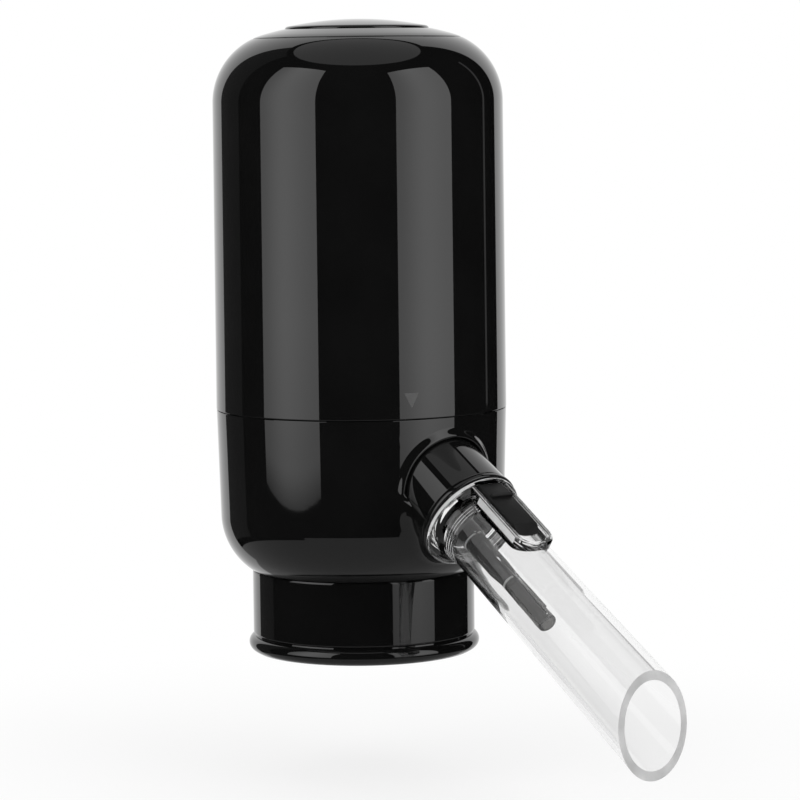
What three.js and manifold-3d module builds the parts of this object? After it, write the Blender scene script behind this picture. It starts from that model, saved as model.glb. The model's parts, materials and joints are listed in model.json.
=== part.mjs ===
// An electric wine pourer that sits on a bottle's mouth: a pump in its middle, six cells round
// the pump, a push button in its domed top and a clear spout that slopes down from its side.
// Millimetres, +Z up. The spout points along -Y. The origin is the centre of the bottle's mouth.
// Heights are counted from the skirt's rim, and one group moves them down to the mouth.

import * as THREE from "three";
import { mergeVertices } from "three/addons/utils/BufferGeometryUtils.js";
import Module from "manifold-3d";

const wasm = await Module();
wasm.setup();

// Fits that the whole object shares
const runGap = 0.3;
const seatGap = 0.1;
const overrun = 2;

// Bottle that the pourer goes on, as radii
const bottleBore = 9.25;
const bottleLip = 14.75;

// Pump, cells and walls, from the axis outwards
const pumpRadius = 13.5;
const tubeWall = 1;
const cellGap = 0.25;
const cellRadius = 5.25;
const lugGap = 0.45;
const lugDepth = 1.15;
const coverWall = 1.9;

// Heights from the rim upwards
const seatHeight = 24;
const skirtHeight = 16.4;
const lineHeight = 20.8;
const seamGap = 0.3;
const spigotHeight = 5.8;
const holderPlate = 1.6;
const contactThick = 0.35;
const cellSpringHeight = 2.9;
const cellLength = 44.5;
const boardGap = 0.7;
const boardThick = 1.4;
const switchHeight = 2.8;
const stemHeight = 0.7;
const stemTravel = 0.25;
const buttonTravel = 1.5;
const carrierFloor = 1.2;
const buttonFlange = 1.1;
const crownHeight = 7.35;

// Cover, its dome and its locking lugs
const coverDraftWidth = 0.19;
const capRadius = 68;
const shoulderRadius = 14;
const ledgeDepth = 4.8;
const ledgeThick = 2;
const ledgeGap = 1.4;
const lugHeight = 2;
const lugLift = 0.8;
const lugCount = 3;
const lugDegrees = 14;
const lugStartDegrees = 30;
const lugPlayDegrees = 1;
const twistDegrees = 17.8;
const sealWire = 0.5;

// Lower housing and its deck
const housingStepWidth = 0.05;
const housingDraftWidth = 0.55;
const cornerRadius = 13.5;
const housingWall = 2.1;
const spigotThick = 1.9;
const neckDepth = 4.7;
const neckRiseHeight = 2.2;
const deckDepth = 1.7;
const deckThick = 2;
const postRadius = 3;
const postInset = 2.9;
const postLength = 16;
const bossRadius = 11.3;
const bossHeight = 1;

// Skirt, and what seals the bottle
const skirtRadius = 22.3;
const skirtWall = 1.8;
const lipRadius = 23.2;
const lipHeight = 3.2;
const lipDegrees = 60;
const grooveDepth = 0.35;
const skirtPlate = 2;
const cupChamferWidth = 3.1;
const cupChamferHeight = 2.5;
const spigotWall = 1.5;
const snapDepth = 0.35;
const stopperFlange = 1.8;
const stopperLength = 18.5;
const stopperWeb = 0.6;
const ribDepth = 1.2;
const ribCount = 4;
const coreRadius = 4.4;
const coreNeck = 7;
const coreFlange = 9.5;
const coreFlangeThick = 1.5;
const coreFootHeight = 0.9;
const wineBore = 1.8;
const wineOffset = 1.2;
const airBore = 0.8;
const airOffset = 2.7;
const airLineOffset = 7.2;
const stubHeight = 1.6;
const nippleRadius = 1.5;
const nippleHeight = 4;
const strawSocket = 2.3;
const strawDepth = 9;
const strawFlange = 3.6;
const strawFlangeThick = 1.6;

// Air line and wine line
const hoseRadius = 2.1;
const valveRadius = 2.9;
const hoseStretch = 2.2;
const pipeRadius = 2.8;
const elbowLowShare = 0.33;
const elbowHighShare = 0.86;
const elbowBackShare = 0.17;
const elbowCrestShare = 0.125;

// Pump and motor
const pumpFloor = 3;
const diaphragmThick = 1;
const diaphragmDepth = 0.4;
const chamberHeight = 17;
const chamberWall = 1.8;
const outletLength = 4;
const motorRadius = 12;
const motorLength = 26;
const motorBoss = 4.5;
const motorBossHeight = 1.4;
const shaftRadius = 1;
const shaftGap = 0.1;
const crankRadius = 4.2;
const crankOffset = 1.1;
const crankHeight = 5;
const followerRadius = 9;
const followerThick = 1.5;
const followerWall = 1.2;
const followerCup = 6;
const padRadius = 9;
const padBore = 5.4;

// Screws
const screwShank = 1.1;
const screwHead = 2.2;
const screwHeadHeight = 1.4;
const screwLength = 7;
const screwSlot = 0.5;

// Cell holder and its board
const finThick = 1;
const finInset = 1.8;
const holderPost = 2.6;
const nubRadius = 1.9;
const nubHeight = 0.8;
const cellEdgeRadius = 0.4;
const cellSpringRadius = 3.2;
const springWire = 0.3;
const contactDegrees = 12;
const contactInset = 1.2;
const boardRadius = 17.5;
const pegRadius = 1.5;
const pegRing = 14;
const wireHole = 4;
const switchSide = 6;
const stemRadius = 1.7;

// Button and what carries it
const buttonRadius = 14.3;
const buttonRise = 0.35;
const buttonGap = 0.4;
const buttonWall = 1.6;
const buttonThick = 3.3;
const buttonEdge = 0.3;
const flangeWidth = 1.3;
const sleeveWall = 1.8;
const ringFaceWidth = 6.1;
const ringGap = 0.2;
const carrierGap = 1.2;
const carrierWall = 1.2;
const carrierRim = 1.5;
const carrierRimWidth = 4.2;
const plungerFlange = 7;
const plungerDisc = 1.5;
const plungerRadius = 2.2;
const guideHeight = 0.8;
const guideWall = 1.6;
const returnSpring = 5.4;
const returnWire = 0.35;

// Spout, measured along its own axis from the body's axis
const spoutSlopeDegrees = 32.2;
const spoutRiseHeight = 2.36;
const spoutLength = 101.9;
const collarNearLength = 24;
const collarFarLength = 40.6;
const collarRadius = 10;
const collarFlareWidth = 0.25;
const endRing = 1;
const endRingRadius = 10.5;
const endGroove = 0.2;
const collarBore = 8.5;
const collarFloor = 2.5;
const hubLength = 3;
const plugRadius = 7.9;
const ringWire = 0.6;
const ringPlaceShares = [0.212, 0.53];
const spoutFlange = 10.2;
const spoutFlangeThick = 1.1;
const tubeBaseRadius = 7.6;
const tubeTipRadius = 8.4;
const tubeNeck = 5;
const neckInShare = 0.6;
const neckRunShare = 0.3;
const tubeThick = 1.5;
const cutLeanDegrees = 2.1;
const blockHalf = 4.4;
const blockTop = 9.1;
const blockLength = 19.4;
const blockCornerRadius = 3.9;
const blockBevelWidth = 0.5;
const slotHalf = 3.05;
const slotFloor = 7.8;
const slotWall = 1.5;
const railHalf = 3.4;
const railHeight = 0.4;
const sliderLength = 14.8;
const sliderTop = 9.4;
const sliderTravel = 2.3;
const sliderSlopeRun = 2.4;
const sliderSlopeFall = 1.2;
const sliderCornerRadius = 2;
const ridgeOffset = 3.7;
const ridgeThick = 0.8;
const ridgeHeight = 0.7;
const pinRadius = 1.1;
const pinLength = 3.2;
const pinOffset = 3;
const nozzleOffset = 3.2;
const nozzleWide = 2.5;
const nozzleNarrow = 1.9;
const nozzleWall = 0.7;
const nozzleWideLength = 10.5;
const nozzleCone = 4;
const nozzleLength = 27.5;
const nozzleDisc = 1.6;

// Counts of facets, steps and turns
const shellSides = 40;
const tubeSides = 24;
const smallSides = 10;
const screwSides = 8;
const sealSides = 4;
const pipeSides = 4;
const airSides = 3;
const cornerSteps = 4;
const bevelSteps = 2;
const arcSteps = 5;
const pipeSteps = 9;
const springSteps = 8;
const springSides = 5;
const cellSpringTurns = 2;
const returnTurns = 4;
const cellCount = 6;
const screwCount = 3;
const ringCount = 2;

// Radii worked out from the axis outwards
const holderBore = pumpRadius + runGap;
const holderTube = holderBore + tubeWall;
const cellRing = holderTube + cellGap + cellRadius;
const holderRadius = cellRing + cellRadius;
const lugRadius = holderRadius + lugGap;
const coverBore = lugRadius + lugDepth;
const coverRadius = coverBore + coverWall;
const coverTopRadius = coverRadius - coverDraftWidth;
const housingRadius = coverRadius - housingStepWidth;
const housingFoot = housingRadius - housingDraftWidth;
const spigotRadius = coverBore - runGap;
const pocketRadius = lugRadius - runGap;
const spigotBore = spigotRadius - spigotThick - runGap;
const deckRadius = spigotBore - runGap;
const postRing = housingFoot - housingWall - postInset - screwHead / 2;
const ringBore = buttonRadius + buttonGap;
const ringSeatRadius = ringBore + ringFaceWidth;
const ledgeBore = ringBore + sleeveWall + ledgeGap;
const carrierBore = buttonRadius + flangeWidth + carrierGap;
const carrierOuter = carrierBore + carrierWall;

// Heights worked out from the rim upwards
const coreBottom = seatHeight - stopperLength - coreFootHeight - seatGap;
const plateBottom = seatHeight + stopperFlange + seatGap;
const plateTop = plateBottom + skirtPlate;
const coreTop = plateTop + seatGap + coreFlangeThick;
const seamHeight = plateTop + lineHeight;
const spoutHeight = seamHeight + spoutRiseHeight;
const deckFloor = seamHeight - deckDepth;
const deckTop = deckFloor + deckThick;
const spigotTop = seamHeight + spigotHeight;
const coverFoot = seamHeight + seamGap;
const sealHeight = coverFoot + seatGap + sealWire;
const lugFoot = sealHeight + sealWire + lugLift;
const holderFloor = spigotTop + seatGap;
const cellFloor = holderFloor + holderPlate + seatGap + contactThick + seatGap;
const cellRoof = cellFloor + cellSpringHeight + seatGap + cellLength;
const holderRoof = cellRoof + seatGap + contactThick + seatGap;
const holderTop = holderRoof + holderPlate;
const boardFloor = holderTop + boardGap;
const boardTop = boardFloor + boardThick;
const switchTop = boardTop + seatGap + switchHeight;
const stemTop = switchTop + stemHeight;
const plungerEnd = stemTop + buttonTravel - stemTravel + runGap;
const carrierBottom = plungerEnd + runGap;
const carrierTop = carrierBottom + carrierFloor;
const flangeBottom = carrierTop + runGap + buttonTravel;
const flangeTop = flangeBottom + buttonFlange;
const sleeveBottom = flangeTop + runGap;
const crown = sleeveBottom + crownHeight;
const plungerTop = crown - buttonThick - seatGap;
const plungerSeat = plungerTop - plungerDisc;
const ledgeTop = crown - ledgeDepth;
const ledgeBottom = ledgeTop - ledgeThick;
const pumpBottom = deckTop + seatGap;
const diaphragmBottom = pumpBottom + pumpFloor + seatGap;
const chamberBottom = diaphragmBottom + diaphragmThick + seatGap;
const chamberTop = chamberBottom + chamberHeight;
const motorBottom = chamberTop + seatGap;
const motorTop = motorBottom + motorLength;

// Centres of the dome's two arcs and of the bottom corner's arc
const capCentre = crown - capRadius;
const shoulderIn = coverTopRadius - shoulderRadius;
const shoulderHeight = capCentre + Math.sqrt((capRadius - shoulderRadius) ** 2 - shoulderIn ** 2);
const cornerIn = housingFoot - cornerRadius;
const cornerHeight = skirtHeight + Math.sqrt(cornerRadius ** 2 - (skirtRadius - cornerIn) ** 2);

// Finishes
const finish = (color, roughness, metalness = 0, opacity = 1) =>
  new THREE.MeshStandardMaterial({ color, roughness, metalness, opacity, transparent: opacity < 1 });
const glossBlack = finish(0x0b0b0c, 0.1);
const mattBlack = finish(0x161617, 0.6);
const clearPlastic = finish(0xeef2f4, 0.04, 0, 0.3);
const silicone = finish(0x2a2a2b, 0.7);
const whitePlastic = finish(0xd9d9d4, 0.45);
const steel = finish(0xb4b6b8, 0.3, 1);
const cellWrap = finish(0x2f6f4a, 0.35);
const boardGreen = finish(0x1d5a35, 0.5);
const foam = finish(0x5b5d60, 0.9);

const turn = THREE.MathUtils.degToRad;
const degrees = THREE.MathUtils.radToDeg;
const fullTurn = Math.PI * 2;
const slope = turn(spoutSlopeDegrees);

// A closed mesh as a solid that can be cut and joined
function solid(geometry) {
  const bare = new THREE.BufferGeometry();
  const plain = geometry.index ? geometry.toNonIndexed() : geometry;
  bare.setAttribute("position", plain.getAttribute("position").clone());
  const merged = mergeVertices(bare, 1e-4);
  const index = merged.index.array;
  const kept = [];
  for (let i = 0; i < index.length; i += 3) {
    const [a, b, c] = [index[i], index[i + 1], index[i + 2]];
    if (a !== b && b !== c && a !== c) kept.push(a, b, c);
  }
  const mesh = new wasm.Mesh({
    numProp: 3,
    vertProperties: new Float32Array(merged.attributes.position.array),
    triVerts: new Uint32Array(kept),
  });
  return new wasm.Manifold(mesh);
}

// A solid back as a three.js geometry
function geometryOf(body) {
  const mesh = body.getMesh();
  const places = new Float32Array(mesh.numVert * 3);
  for (let i = 0; i < mesh.numVert; i++) {
    const from = i * mesh.numProp;
    places.set(mesh.vertProperties.subarray(from, from + 3), i * 3);
  }
  const geometry = new THREE.BufferGeometry();
  geometry.setAttribute("position", new THREE.BufferAttribute(places, 3));
  geometry.setIndex(new THREE.BufferAttribute(new Uint32Array(mesh.triVerts), 1));
  geometry.computeVertexNormals();
  return geometry;
}

const join = (first, ...others) => others.reduce((all, one) => all.add(one), first);
const cut = (first, ...others) => others.reduce((left, one) => left.subtract(one), first);

// A profile of [radius, height] points turned about Z, with its faces outwards
function turned(profile, sides) {
  const points = profile.map(([r, z]) => new THREE.Vector2(r, z));
  if (THREE.ShapeUtils.area(points) < 0) points.reverse();
  const onAxis = points[0].x === 0 && points[points.length - 1].x === 0;
  const first = points.findIndex((point) => point.x === 0);
  if (!onAxis && first < 0) points.push(points[0].clone());
  return new THREE.LatheGeometry(points, sides).rotateX(Math.PI / 2);
}

const ring = (inner, outer, low, high, sides) =>
  turned([[inner, low], [outer, low], [outer, high], [inner, high]], sides);

const rod = (radius, low, high, sides) =>
  turned([[0, low], [radius, low], [radius, high], [0, high]], sides);

const box = (x0, x1, y0, y1, z0, z1) =>
  new THREE.BoxGeometry(x1 - x0, y1 - y0, z1 - z0).translate((x0 + x1) / 2, (y0 + y1) / 2, (z0 + z1) / 2);

// A shape moved out along X and then turned about Z
const atAngle = (geometry, angle, radius) => geometry.translate(radius, 0, 0).rotateZ(turn(angle));

// Points of an arc about [r, z], between two angles in degrees
function arc(r, z, radius, from, to, steps) {
  const points = [];
  for (let i = 0; i <= steps; i++) {
    const angle = turn(from + ((to - from) * i) / steps);
    points.push([r + radius * Math.cos(angle), z + radius * Math.sin(angle)]);
  }
  return points;
}

// A piece of a flat ring between two angles in degrees
function sector(inner, outer, from, to, low, high) {
  const steps = Math.max(2, Math.ceil((to - from) / contactDegrees));
  const flat = [...arc(0, 0, outer, from, to, steps), ...arc(0, 0, inner, to, from, steps)];
  const shape = new THREE.Shape(flat.map(([x, y]) => new THREE.Vector2(x, y)));
  return new THREE.ExtrudeGeometry(shape, { depth: high - low, bevelEnabled: false }).translate(0, 0, low);
}

// A round section carried along a path, hollow where a bore is given
function pipe(path, radius, bore, sides, steps) {
  const section = new THREE.Shape();
  section.absarc(0, 0, radius, 0, fullTurn, false);
  if (bore > 0) section.holes.push(new THREE.Path().absarc(0, 0, bore, 0, fullTurn, true));
  const options = { steps, extrudePath: path, curveSegments: sides, bevelEnabled: false };
  return new THREE.ExtrudeGeometry(section, options);
}

// A round wire wound as a spring, with both of its ends closed
function coil(radius, wire, low, high, turns) {
  const count = turns * springSteps;
  const rise = high - low - wire * 2;
  const lean = Math.atan2(rise, fullTurn * radius * turns);
  const places = [];
  const faces = [];
  for (let i = 0; i <= count; i++) {
    const angle = (fullTurn * i) / springSteps;
    for (let j = 0; j < springSides; j++) {
      const round = (fullTurn * j) / springSides;
      const out = radius + wire * Math.cos(round);
      const back = wire * Math.sin(round) * Math.sin(lean);
      const height = low + wire + (rise * i) / count + wire * Math.sin(round) * Math.cos(lean);
      places.push(out * Math.cos(angle) + back * Math.sin(angle));
      places.push(out * Math.sin(angle) - back * Math.cos(angle));
      places.push(height);
    }
  }
  for (let i = 0; i < count; i++) {
    for (let j = 0; j < springSides; j++) {
      const a = i * springSides + j;
      const b = i * springSides + ((j + 1) % springSides);
      faces.push(a, b, a + springSides, b, b + springSides, a + springSides);
    }
  }
  const last = count * springSides;
  for (let j = 1; j < springSides - 1; j++) {
    faces.push(0, j + 1, j, last, last + j, last + j + 1);
  }
  const geometry = new THREE.BufferGeometry();
  geometry.setAttribute("position", new THREE.Float32BufferAttribute(places, 3));
  geometry.setIndex(faces);
  const body = solid(geometry);
  return body.volume() < 0 ? geometry.setIndex(faces.reverse()) : geometry;
}

// A named mesh in a group
function piece(parent, name, shape, material) {
  const geometry = shape.isBufferGeometry ? shape : geometryOf(shape);
  const mesh = new THREE.Mesh(geometry, material);
  mesh.name = name;
  parent.add(mesh);
}

// Height of the dome over a radius: a wide cap that runs into a tighter shoulder
function domeHeight(r) {
  const joint = (shoulderIn * capRadius) / (capRadius - shoulderRadius);
  if (r <= joint) return capCentre + Math.sqrt(capRadius ** 2 - r ** 2);
  return shoulderHeight + Math.sqrt(shoulderRadius ** 2 - (r - shoulderIn) ** 2);
}

// The dome's profile between two radii
function domeArc(from, to, steps) {
  const points = [];
  for (let i = 0; i <= steps; i++) {
    const r = from + ((to - from) * i) / steps;
    points.push([r, domeHeight(r)]);
  }
  return points;
}

const lugAngle = (i) => (360 * i) / lugCount + lugStartDegrees;

// Cover over the cells, with a seat for the top ring and three locking lugs
function upperShell() {
  const inner = shoulderRadius - coverWall;
  const seatAngle = degrees(Math.acos((ringSeatRadius - shoulderIn) / shoulderRadius));
  const ledgeAngle = degrees(Math.asin((ledgeBottom - shoulderHeight) / inner));
  const shell = turned(
    [
      [coverRadius, coverFoot],
      ...arc(shoulderIn, shoulderHeight, shoulderRadius, 0, seatAngle, arcSteps),
      [ringSeatRadius, ledgeTop],
      [ledgeBore, ledgeTop],
      [ledgeBore, ledgeBottom],
      ...arc(shoulderIn, shoulderHeight, inner, ledgeAngle, 0, arcSteps - 2),
      [coverBore, coverFoot],
    ],
    shellSides,
  );
  let body = solid(shell);
  const half = lugDegrees / 2;
  const root = coverBore + coverWall / 2;
  for (let i = 0; i < lugCount; i++) {
    const lug = sector(lugRadius, root, lugAngle(i) - half, lugAngle(i) + half, lugFoot, lugFoot + lugHeight);
    body = body.add(solid(lug));
  }
  return body;
}

// Ring let into the dome, with the sleeve that guides the button
function topRing() {
  const outer = ringSeatRadius - ringGap;
  return turned(
    [
      [ringBore, sleeveBottom],
      [ringBore + sleeveWall, sleeveBottom],
      [ringBore + sleeveWall, ledgeTop + seatGap],
      [outer, ledgeTop + seatGap],
      ...domeArc(outer, ringBore, arcSteps - 2),
    ],
    shellSides,
  );
}

// Push button: a cup with a flange that keeps it in its sleeve
function buttonCap() {
  const inner = buttonRadius - buttonWall;
  const top = domeArc(buttonRadius - buttonEdge, 0, arcSteps - 2);
  return turned(
    [
      [0, crown - buttonThick],
      [inner, crown - buttonThick],
      [inner, flangeBottom],
      [buttonRadius + flangeWidth, flangeBottom],
      [buttonRadius + flangeWidth, flangeTop],
      [buttonRadius, flangeTop],
      [buttonRadius, domeHeight(buttonRadius) + buttonRise - buttonEdge],
      ...top.map(([r, z]) => [r, z + buttonRise]),
    ],
    shellSides,
  );
}

// Plunger under the button, down to just over the switch's stem
function buttonPlunger() {
  return turned(
    [
      [0, plungerEnd],
      [plungerRadius, plungerEnd],
      [plungerRadius, plungerSeat],
      [plungerFlange, plungerSeat],
      [plungerFlange, plungerTop],
      [0, plungerTop],
    ],
    smallSides,
  );
}

// Dish under the button that carries its spring and guides its plunger
function buttonCarrier() {
  const bore = plungerRadius + runGap;
  const rimTop = ledgeBottom - seatGap;
  return turned(
    [
      [bore, carrierBottom],
      [carrierOuter, carrierBottom],
      [carrierOuter, rimTop - carrierRim],
      [carrierOuter + carrierRimWidth, rimTop - carrierRim],
      [carrierOuter + carrierRimWidth, rimTop],
      [carrierBore, rimTop],
      [carrierBore, carrierTop],
      [bore + guideWall, carrierTop],
      [bore + guideWall, carrierTop + guideHeight],
      [bore, carrierTop + guideHeight],
    ],
    tubeSides,
  );
}

// Frame of the spout: Z along the spout, X across it, Y up from it
const spoutFrame = new THREE.Group();
spoutFrame.position.z = spoutHeight;
spoutFrame.rotation.x = Math.PI / 2 + slope;
spoutFrame.updateMatrix();
const inSpout = (geometry) => geometry.applyMatrix4(spoutFrame.matrix);

// Outside of the lower housing, raised by some amount all over
function housingOutside(raise) {
  const foot = -degrees(Math.asin((cornerHeight - skirtHeight) / cornerRadius));
  const curve = arc(cornerIn, cornerHeight, cornerRadius + raise, foot, 0, arcSteps);
  return [[0, curve[0][1]], ...curve, [housingRadius + raise, seamHeight], [0, seamHeight]];
}

// Inside of the lower housing, narrowed near its top for the spigot
function housingInside() {
  const inner = cornerRadius - housingWall;
  const mouth = skirtRadius - spigotWall;
  const start = -degrees(Math.acos((mouth - cornerIn) / inner));
  const neck = seamHeight - neckDepth;
  return [
    [0, skirtHeight - overrun],
    [mouth, skirtHeight - overrun],
    ...arc(cornerIn, cornerHeight, inner, start, 0, arcSteps - 1),
    [housingRadius - housingWall, neck],
    [spigotBore, neck + neckRiseHeight],
    [spigotBore, spigotTop + overrun],
    [0, spigotTop + overrun],
  ];
}

// Spigot that the cover goes over, with the groove of its seal
function coverSpigot() {
  const grooveFloor = coverBore - runGap / 2 - sealWire * 2 - seatGap;
  const grooveTop = sealHeight + sealWire + seatGap;
  return [
    [0, seamHeight - overrun],
    [spigotRadius, seamHeight - overrun],
    [spigotRadius, seamHeight + seatGap],
    [grooveFloor, seamHeight + seatGap],
    [grooveFloor, grooveTop],
    [spigotRadius, grooveTop],
    [spigotRadius, spigotTop],
    [0, spigotTop],
  ];
}

const screwAngle = (i) => 90 + (360 * i) / screwCount;

// Lower housing: a shell with the spout's raised boss, the cover's spigot and three deck posts
function lowerShell() {
  const outerEnd = collarFarLength + bossRadius;
  const boss = solid(inSpout(rod(bossRadius, collarNearLength - bossRadius, outerEnd, tubeSides)));
  const raised = solid(turned(housingOutside(bossHeight), shellSides));
  let body = solid(turned(housingOutside(0), shellSides)).add(boss.intersect(raised));
  body = body.add(solid(turned(coverSpigot(), shellSides)));
  body = body.subtract(solid(turned(housingInside(), shellSides)));
  const postTop = deckFloor - seatGap;
  const postFoot = postTop - postLength;
  for (let i = 0; i < screwCount; i++) {
    const post = rod(postRadius, postFoot, postTop, smallSides);
    const web = box(0, housingFoot - housingWall / 2 - postRing, -screwHead, screwHead, postFoot, postTop);
    const bore = rod(screwShank + seatGap, postTop - screwLength, postTop + overrun, screwSides);
    const made = cut(join(solid(post), solid(web)), solid(bore));
    const place = new THREE.Matrix4().makeRotationZ(turn(screwAngle(i)));
    place.multiply(new THREE.Matrix4().makeTranslation(postRing, 0, 0));
    body = body.add(solid(geometryOf(made).applyMatrix4(place)));
  }
  const half = lugDegrees / 2 + lugPlayDegrees;
  for (let i = 0; i < lugCount; i++) {
    const [from, to] = [lugAngle(i) - half, lugAngle(i) + half + twistDegrees];
    const pocket = sector(pocketRadius, coverRadius, from, to, lugFoot - runGap, spigotTop + overrun);
    body = body.subtract(solid(pocket));
  }
  const bore = inSpout(rod(collarRadius + runGap, collarNearLength - overrun, outerEnd, tubeSides));
  return body.subtract(solid(bore));
}

// Skirt over the bottle's neck: lip bead, groove, tube, and a cup that snaps into the housing
function neckSkirt() {
  const inner = skirtRadius - skirtWall;
  const spigot = skirtRadius - spigotWall - seatGap;
  const cup = spigot - spigotWall;
  const bead = lipHeight / 2;
  const snap = skirtHeight + housingWall + runGap;
  return turned(
    [
      [inner, 0],
      [lipRadius - bead / 2, 0],
      ...arc(lipRadius - bead, bead, bead, -lipDegrees, lipDegrees, cornerSteps),
      [skirtRadius - grooveDepth, lipHeight],
      [skirtRadius, lipHeight + grooveDepth],
      [skirtRadius, skirtHeight - seatGap],
      [spigot, skirtHeight - seatGap],
      [spigot, snap],
      [spigot + snapDepth, snap + snapDepth],
      [spigot, snap + snapDepth * 2],
      [spigot, plateTop - cupChamferHeight],
      [spigot - cupChamferWidth, plateTop],
      [coreNeck + seatGap, plateTop],
      [coreNeck + seatGap, plateBottom],
      [cup - cupChamferWidth, plateBottom],
      [cup, plateBottom - cupChamferHeight],
      [cup, skirtHeight],
      [inner, skirtHeight - spigotWall],
    ],
    shellSides,
  );
}

// Ribbed silicone stopper with the flange that the bottle's lip rests on
function bottleStopper() {
  const foot = seatHeight - stopperLength;
  const body = bottleBore - stopperWeb;
  const pitch = stopperLength / (ribCount + 1);
  const side = [];
  for (let i = 0; i < ribCount; i++) {
    const low = foot + pitch * (i + 0.5);
    side.push([body, low], [body + ribDepth, low + pitch / 2], [body, low + (pitch * 2) / 3]);
  }
  return turned(
    [
      [coreRadius + seatGap, foot],
      [body - stopperWeb, foot],
      ...side,
      [body, seatHeight],
      [bottleLip + ribDepth, seatHeight],
      [bottleLip + ribDepth, seatHeight + stopperFlange],
      [coreRadius + seatGap, seatHeight + stopperFlange],
    ],
    tubeSides,
  );
}

// Hard core of the stopper, with a passage for the wine and one for the air
function stopperCore() {
  const neckLow = seatHeight + stopperFlange + seatGap;
  const flangeLow = coreTop - coreFlangeThick;
  const outside = turned(
    [
      [0, coreBottom],
      [coreRadius + coreFootHeight, coreBottom],
      [coreRadius + coreFootHeight, coreBottom + coreFootHeight],
      [coreRadius, coreBottom + coreFootHeight],
      [coreRadius, neckLow],
      [coreNeck, neckLow],
      [coreNeck, flangeLow],
      [coreFlange, flangeLow],
      [coreFlange, coreTop],
      [0, coreTop],
    ],
    tubeSides,
  );
  const stubTop = coreTop + stubHeight;
  const wine = rod(pipeRadius, flangeLow, stubTop, smallSides).translate(0, -wineOffset, 0);
  const nippleTop = coreTop + nippleHeight;
  const nipple = rod(nippleRadius, flangeLow, nippleTop, smallSides).translate(0, airLineOffset, 0);
  const passage = rod(wineBore, coreBottom - overrun, stubTop + overrun, screwSides);
  const socket = rod(strawSocket + seatGap, coreBottom - overrun, coreBottom + strawDepth, smallSides);
  const bend = new THREE.CatmullRomCurve3([
    new THREE.Vector3(0, airLineOffset, coreTop + nippleHeight + overrun),
    new THREE.Vector3(0, airLineOffset, coreTop + airBore),
    new THREE.Vector3(0, (airLineOffset + airOffset) / 2, plateBottom + airBore),
    new THREE.Vector3(0, airOffset, seatHeight - airBore),
    new THREE.Vector3(0, airOffset, coreBottom - overrun),
  ]);
  return cut(
    join(solid(outside), solid(wine), solid(nipple)),
    solid(passage.translate(0, -wineOffset, 0)),
    solid(socket.translate(0, -wineOffset, 0)),
    solid(pipe(bend, airBore, 0, airSides, pipeSteps)),
  );
}

// Nipple in the core's foot that a straw is pushed on
function strawNipple() {
  const low = coreBottom - strawFlangeThick - seatGap;
  const profile = [
    [wineBore - seatGap, low],
    [strawFlange, low],
    [strawFlange, low + strawFlangeThick],
    [strawSocket, low + strawFlangeThick],
    [strawSocket, coreBottom + strawDepth - runGap],
    [wineBore - seatGap, coreBottom + strawDepth - runGap],
  ];
  return turned(profile, smallSides).translate(0, -wineOffset, 0);
}

// Point on the spout's axis, as the body sees it
const onAxis = (along) => new THREE.Vector3(0, 0, along).applyMatrix4(spoutFrame.matrix);

// Bent pipe that carries the wine from the core to the spout's socket
function outletElbow() {
  const start = coreTop + stubHeight + seatGap;
  const end = onAxis(collarNearLength - hubLength - runGap);
  const before = onAxis(collarNearLength - hubLength - runGap - pipeRadius);
  const rise = end.z - start;
  const path = new THREE.CatmullRomCurve3(
    [
      new THREE.Vector3(0, -wineOffset, start),
      new THREE.Vector3(0, -wineOffset, start + rise * elbowLowShare),
      new THREE.Vector3(0, before.y * elbowBackShare, start + rise * elbowHighShare),
      new THREE.Vector3(0, before.y / 2, before.z + rise * elbowCrestShare),
      before,
      end,
    ],
    false,
    "centripetal",
  );
  return pipe(path, pipeRadius, wineBore, pipeSides, pipeSteps);
}

// Air hose with a check valve, straight down from the pump to the core's nipple
const hoseTop = pumpBottom - outletLength - seatGap;
const hoseFoot = coreTop + nippleHeight + seatGap;
const hoseRing = (low, high, radius) =>
  ring(airBore, radius, low, high, smallSides).translate(0, airLineOffset, 0);

function checkValve() {
  const low = hoseFoot + hoseStretch + seatGap;
  const high = hoseTop - hoseStretch - seatGap;
  const step = (high - low) / 4;
  const profile = [
    [airBore, low],
    [hoseRadius, low],
    [hoseRadius, low + step],
    [valveRadius, low + step],
    [valveRadius, high - step],
    [hoseRadius, high - step],
    [hoseRadius, high],
    [airBore, high],
  ];
  return turned(profile, smallSides).translate(0, airLineOffset, 0);
}

// Posts on the deck that the cell holder is screwed down to, between the cells
const holderAngle = (i) => (360 * i) / screwCount;

// Deck that closes the lower housing and carries the pump and the holder
function deckPlate() {
  let body = solid(rod(deckRadius, deckFloor, deckTop, tubeSides));
  for (let i = 0; i < screwCount; i++) {
    const post = rod(holderPost, deckFloor, holderFloor - seatGap, smallSides);
    const hole = rod(screwShank + seatGap, deckFloor - overrun, holderTop, screwSides);
    body = body.add(solid(atAngle(post, holderAngle(i), cellRing)));
    body = body.subtract(solid(atAngle(hole.clone(), holderAngle(i), cellRing)));
    body = body.subtract(solid(atAngle(hole.clone(), screwAngle(i), postRing)));
  }
  const outlet = rod(hoseRadius + runGap, deckFloor - overrun, deckTop + overrun, smallSides);
  return body.subtract(solid(outlet.translate(0, airLineOffset, 0)));
}

// Screw with its head's underside at a height, and a straight slot
function screw(under) {
  const profile = [
    [0, under - screwLength + overrun],
    [screwShank, under - screwLength + overrun],
    [screwShank, under],
    [screwHead, under],
    [screwHead, under + screwHeadHeight / 2],
    [screwHead - screwSlot, under + screwHeadHeight],
    [0, under + screwHeadHeight],
  ];
  const slotLow = under + screwHeadHeight - screwSlot;
  const slot = box(-screwHead, screwHead, -screwSlot / 2, screwSlot / 2, slotLow, under + overrun);
  return geometryOf(cut(solid(turned(profile, screwSides)), solid(slot)));
}

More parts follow.
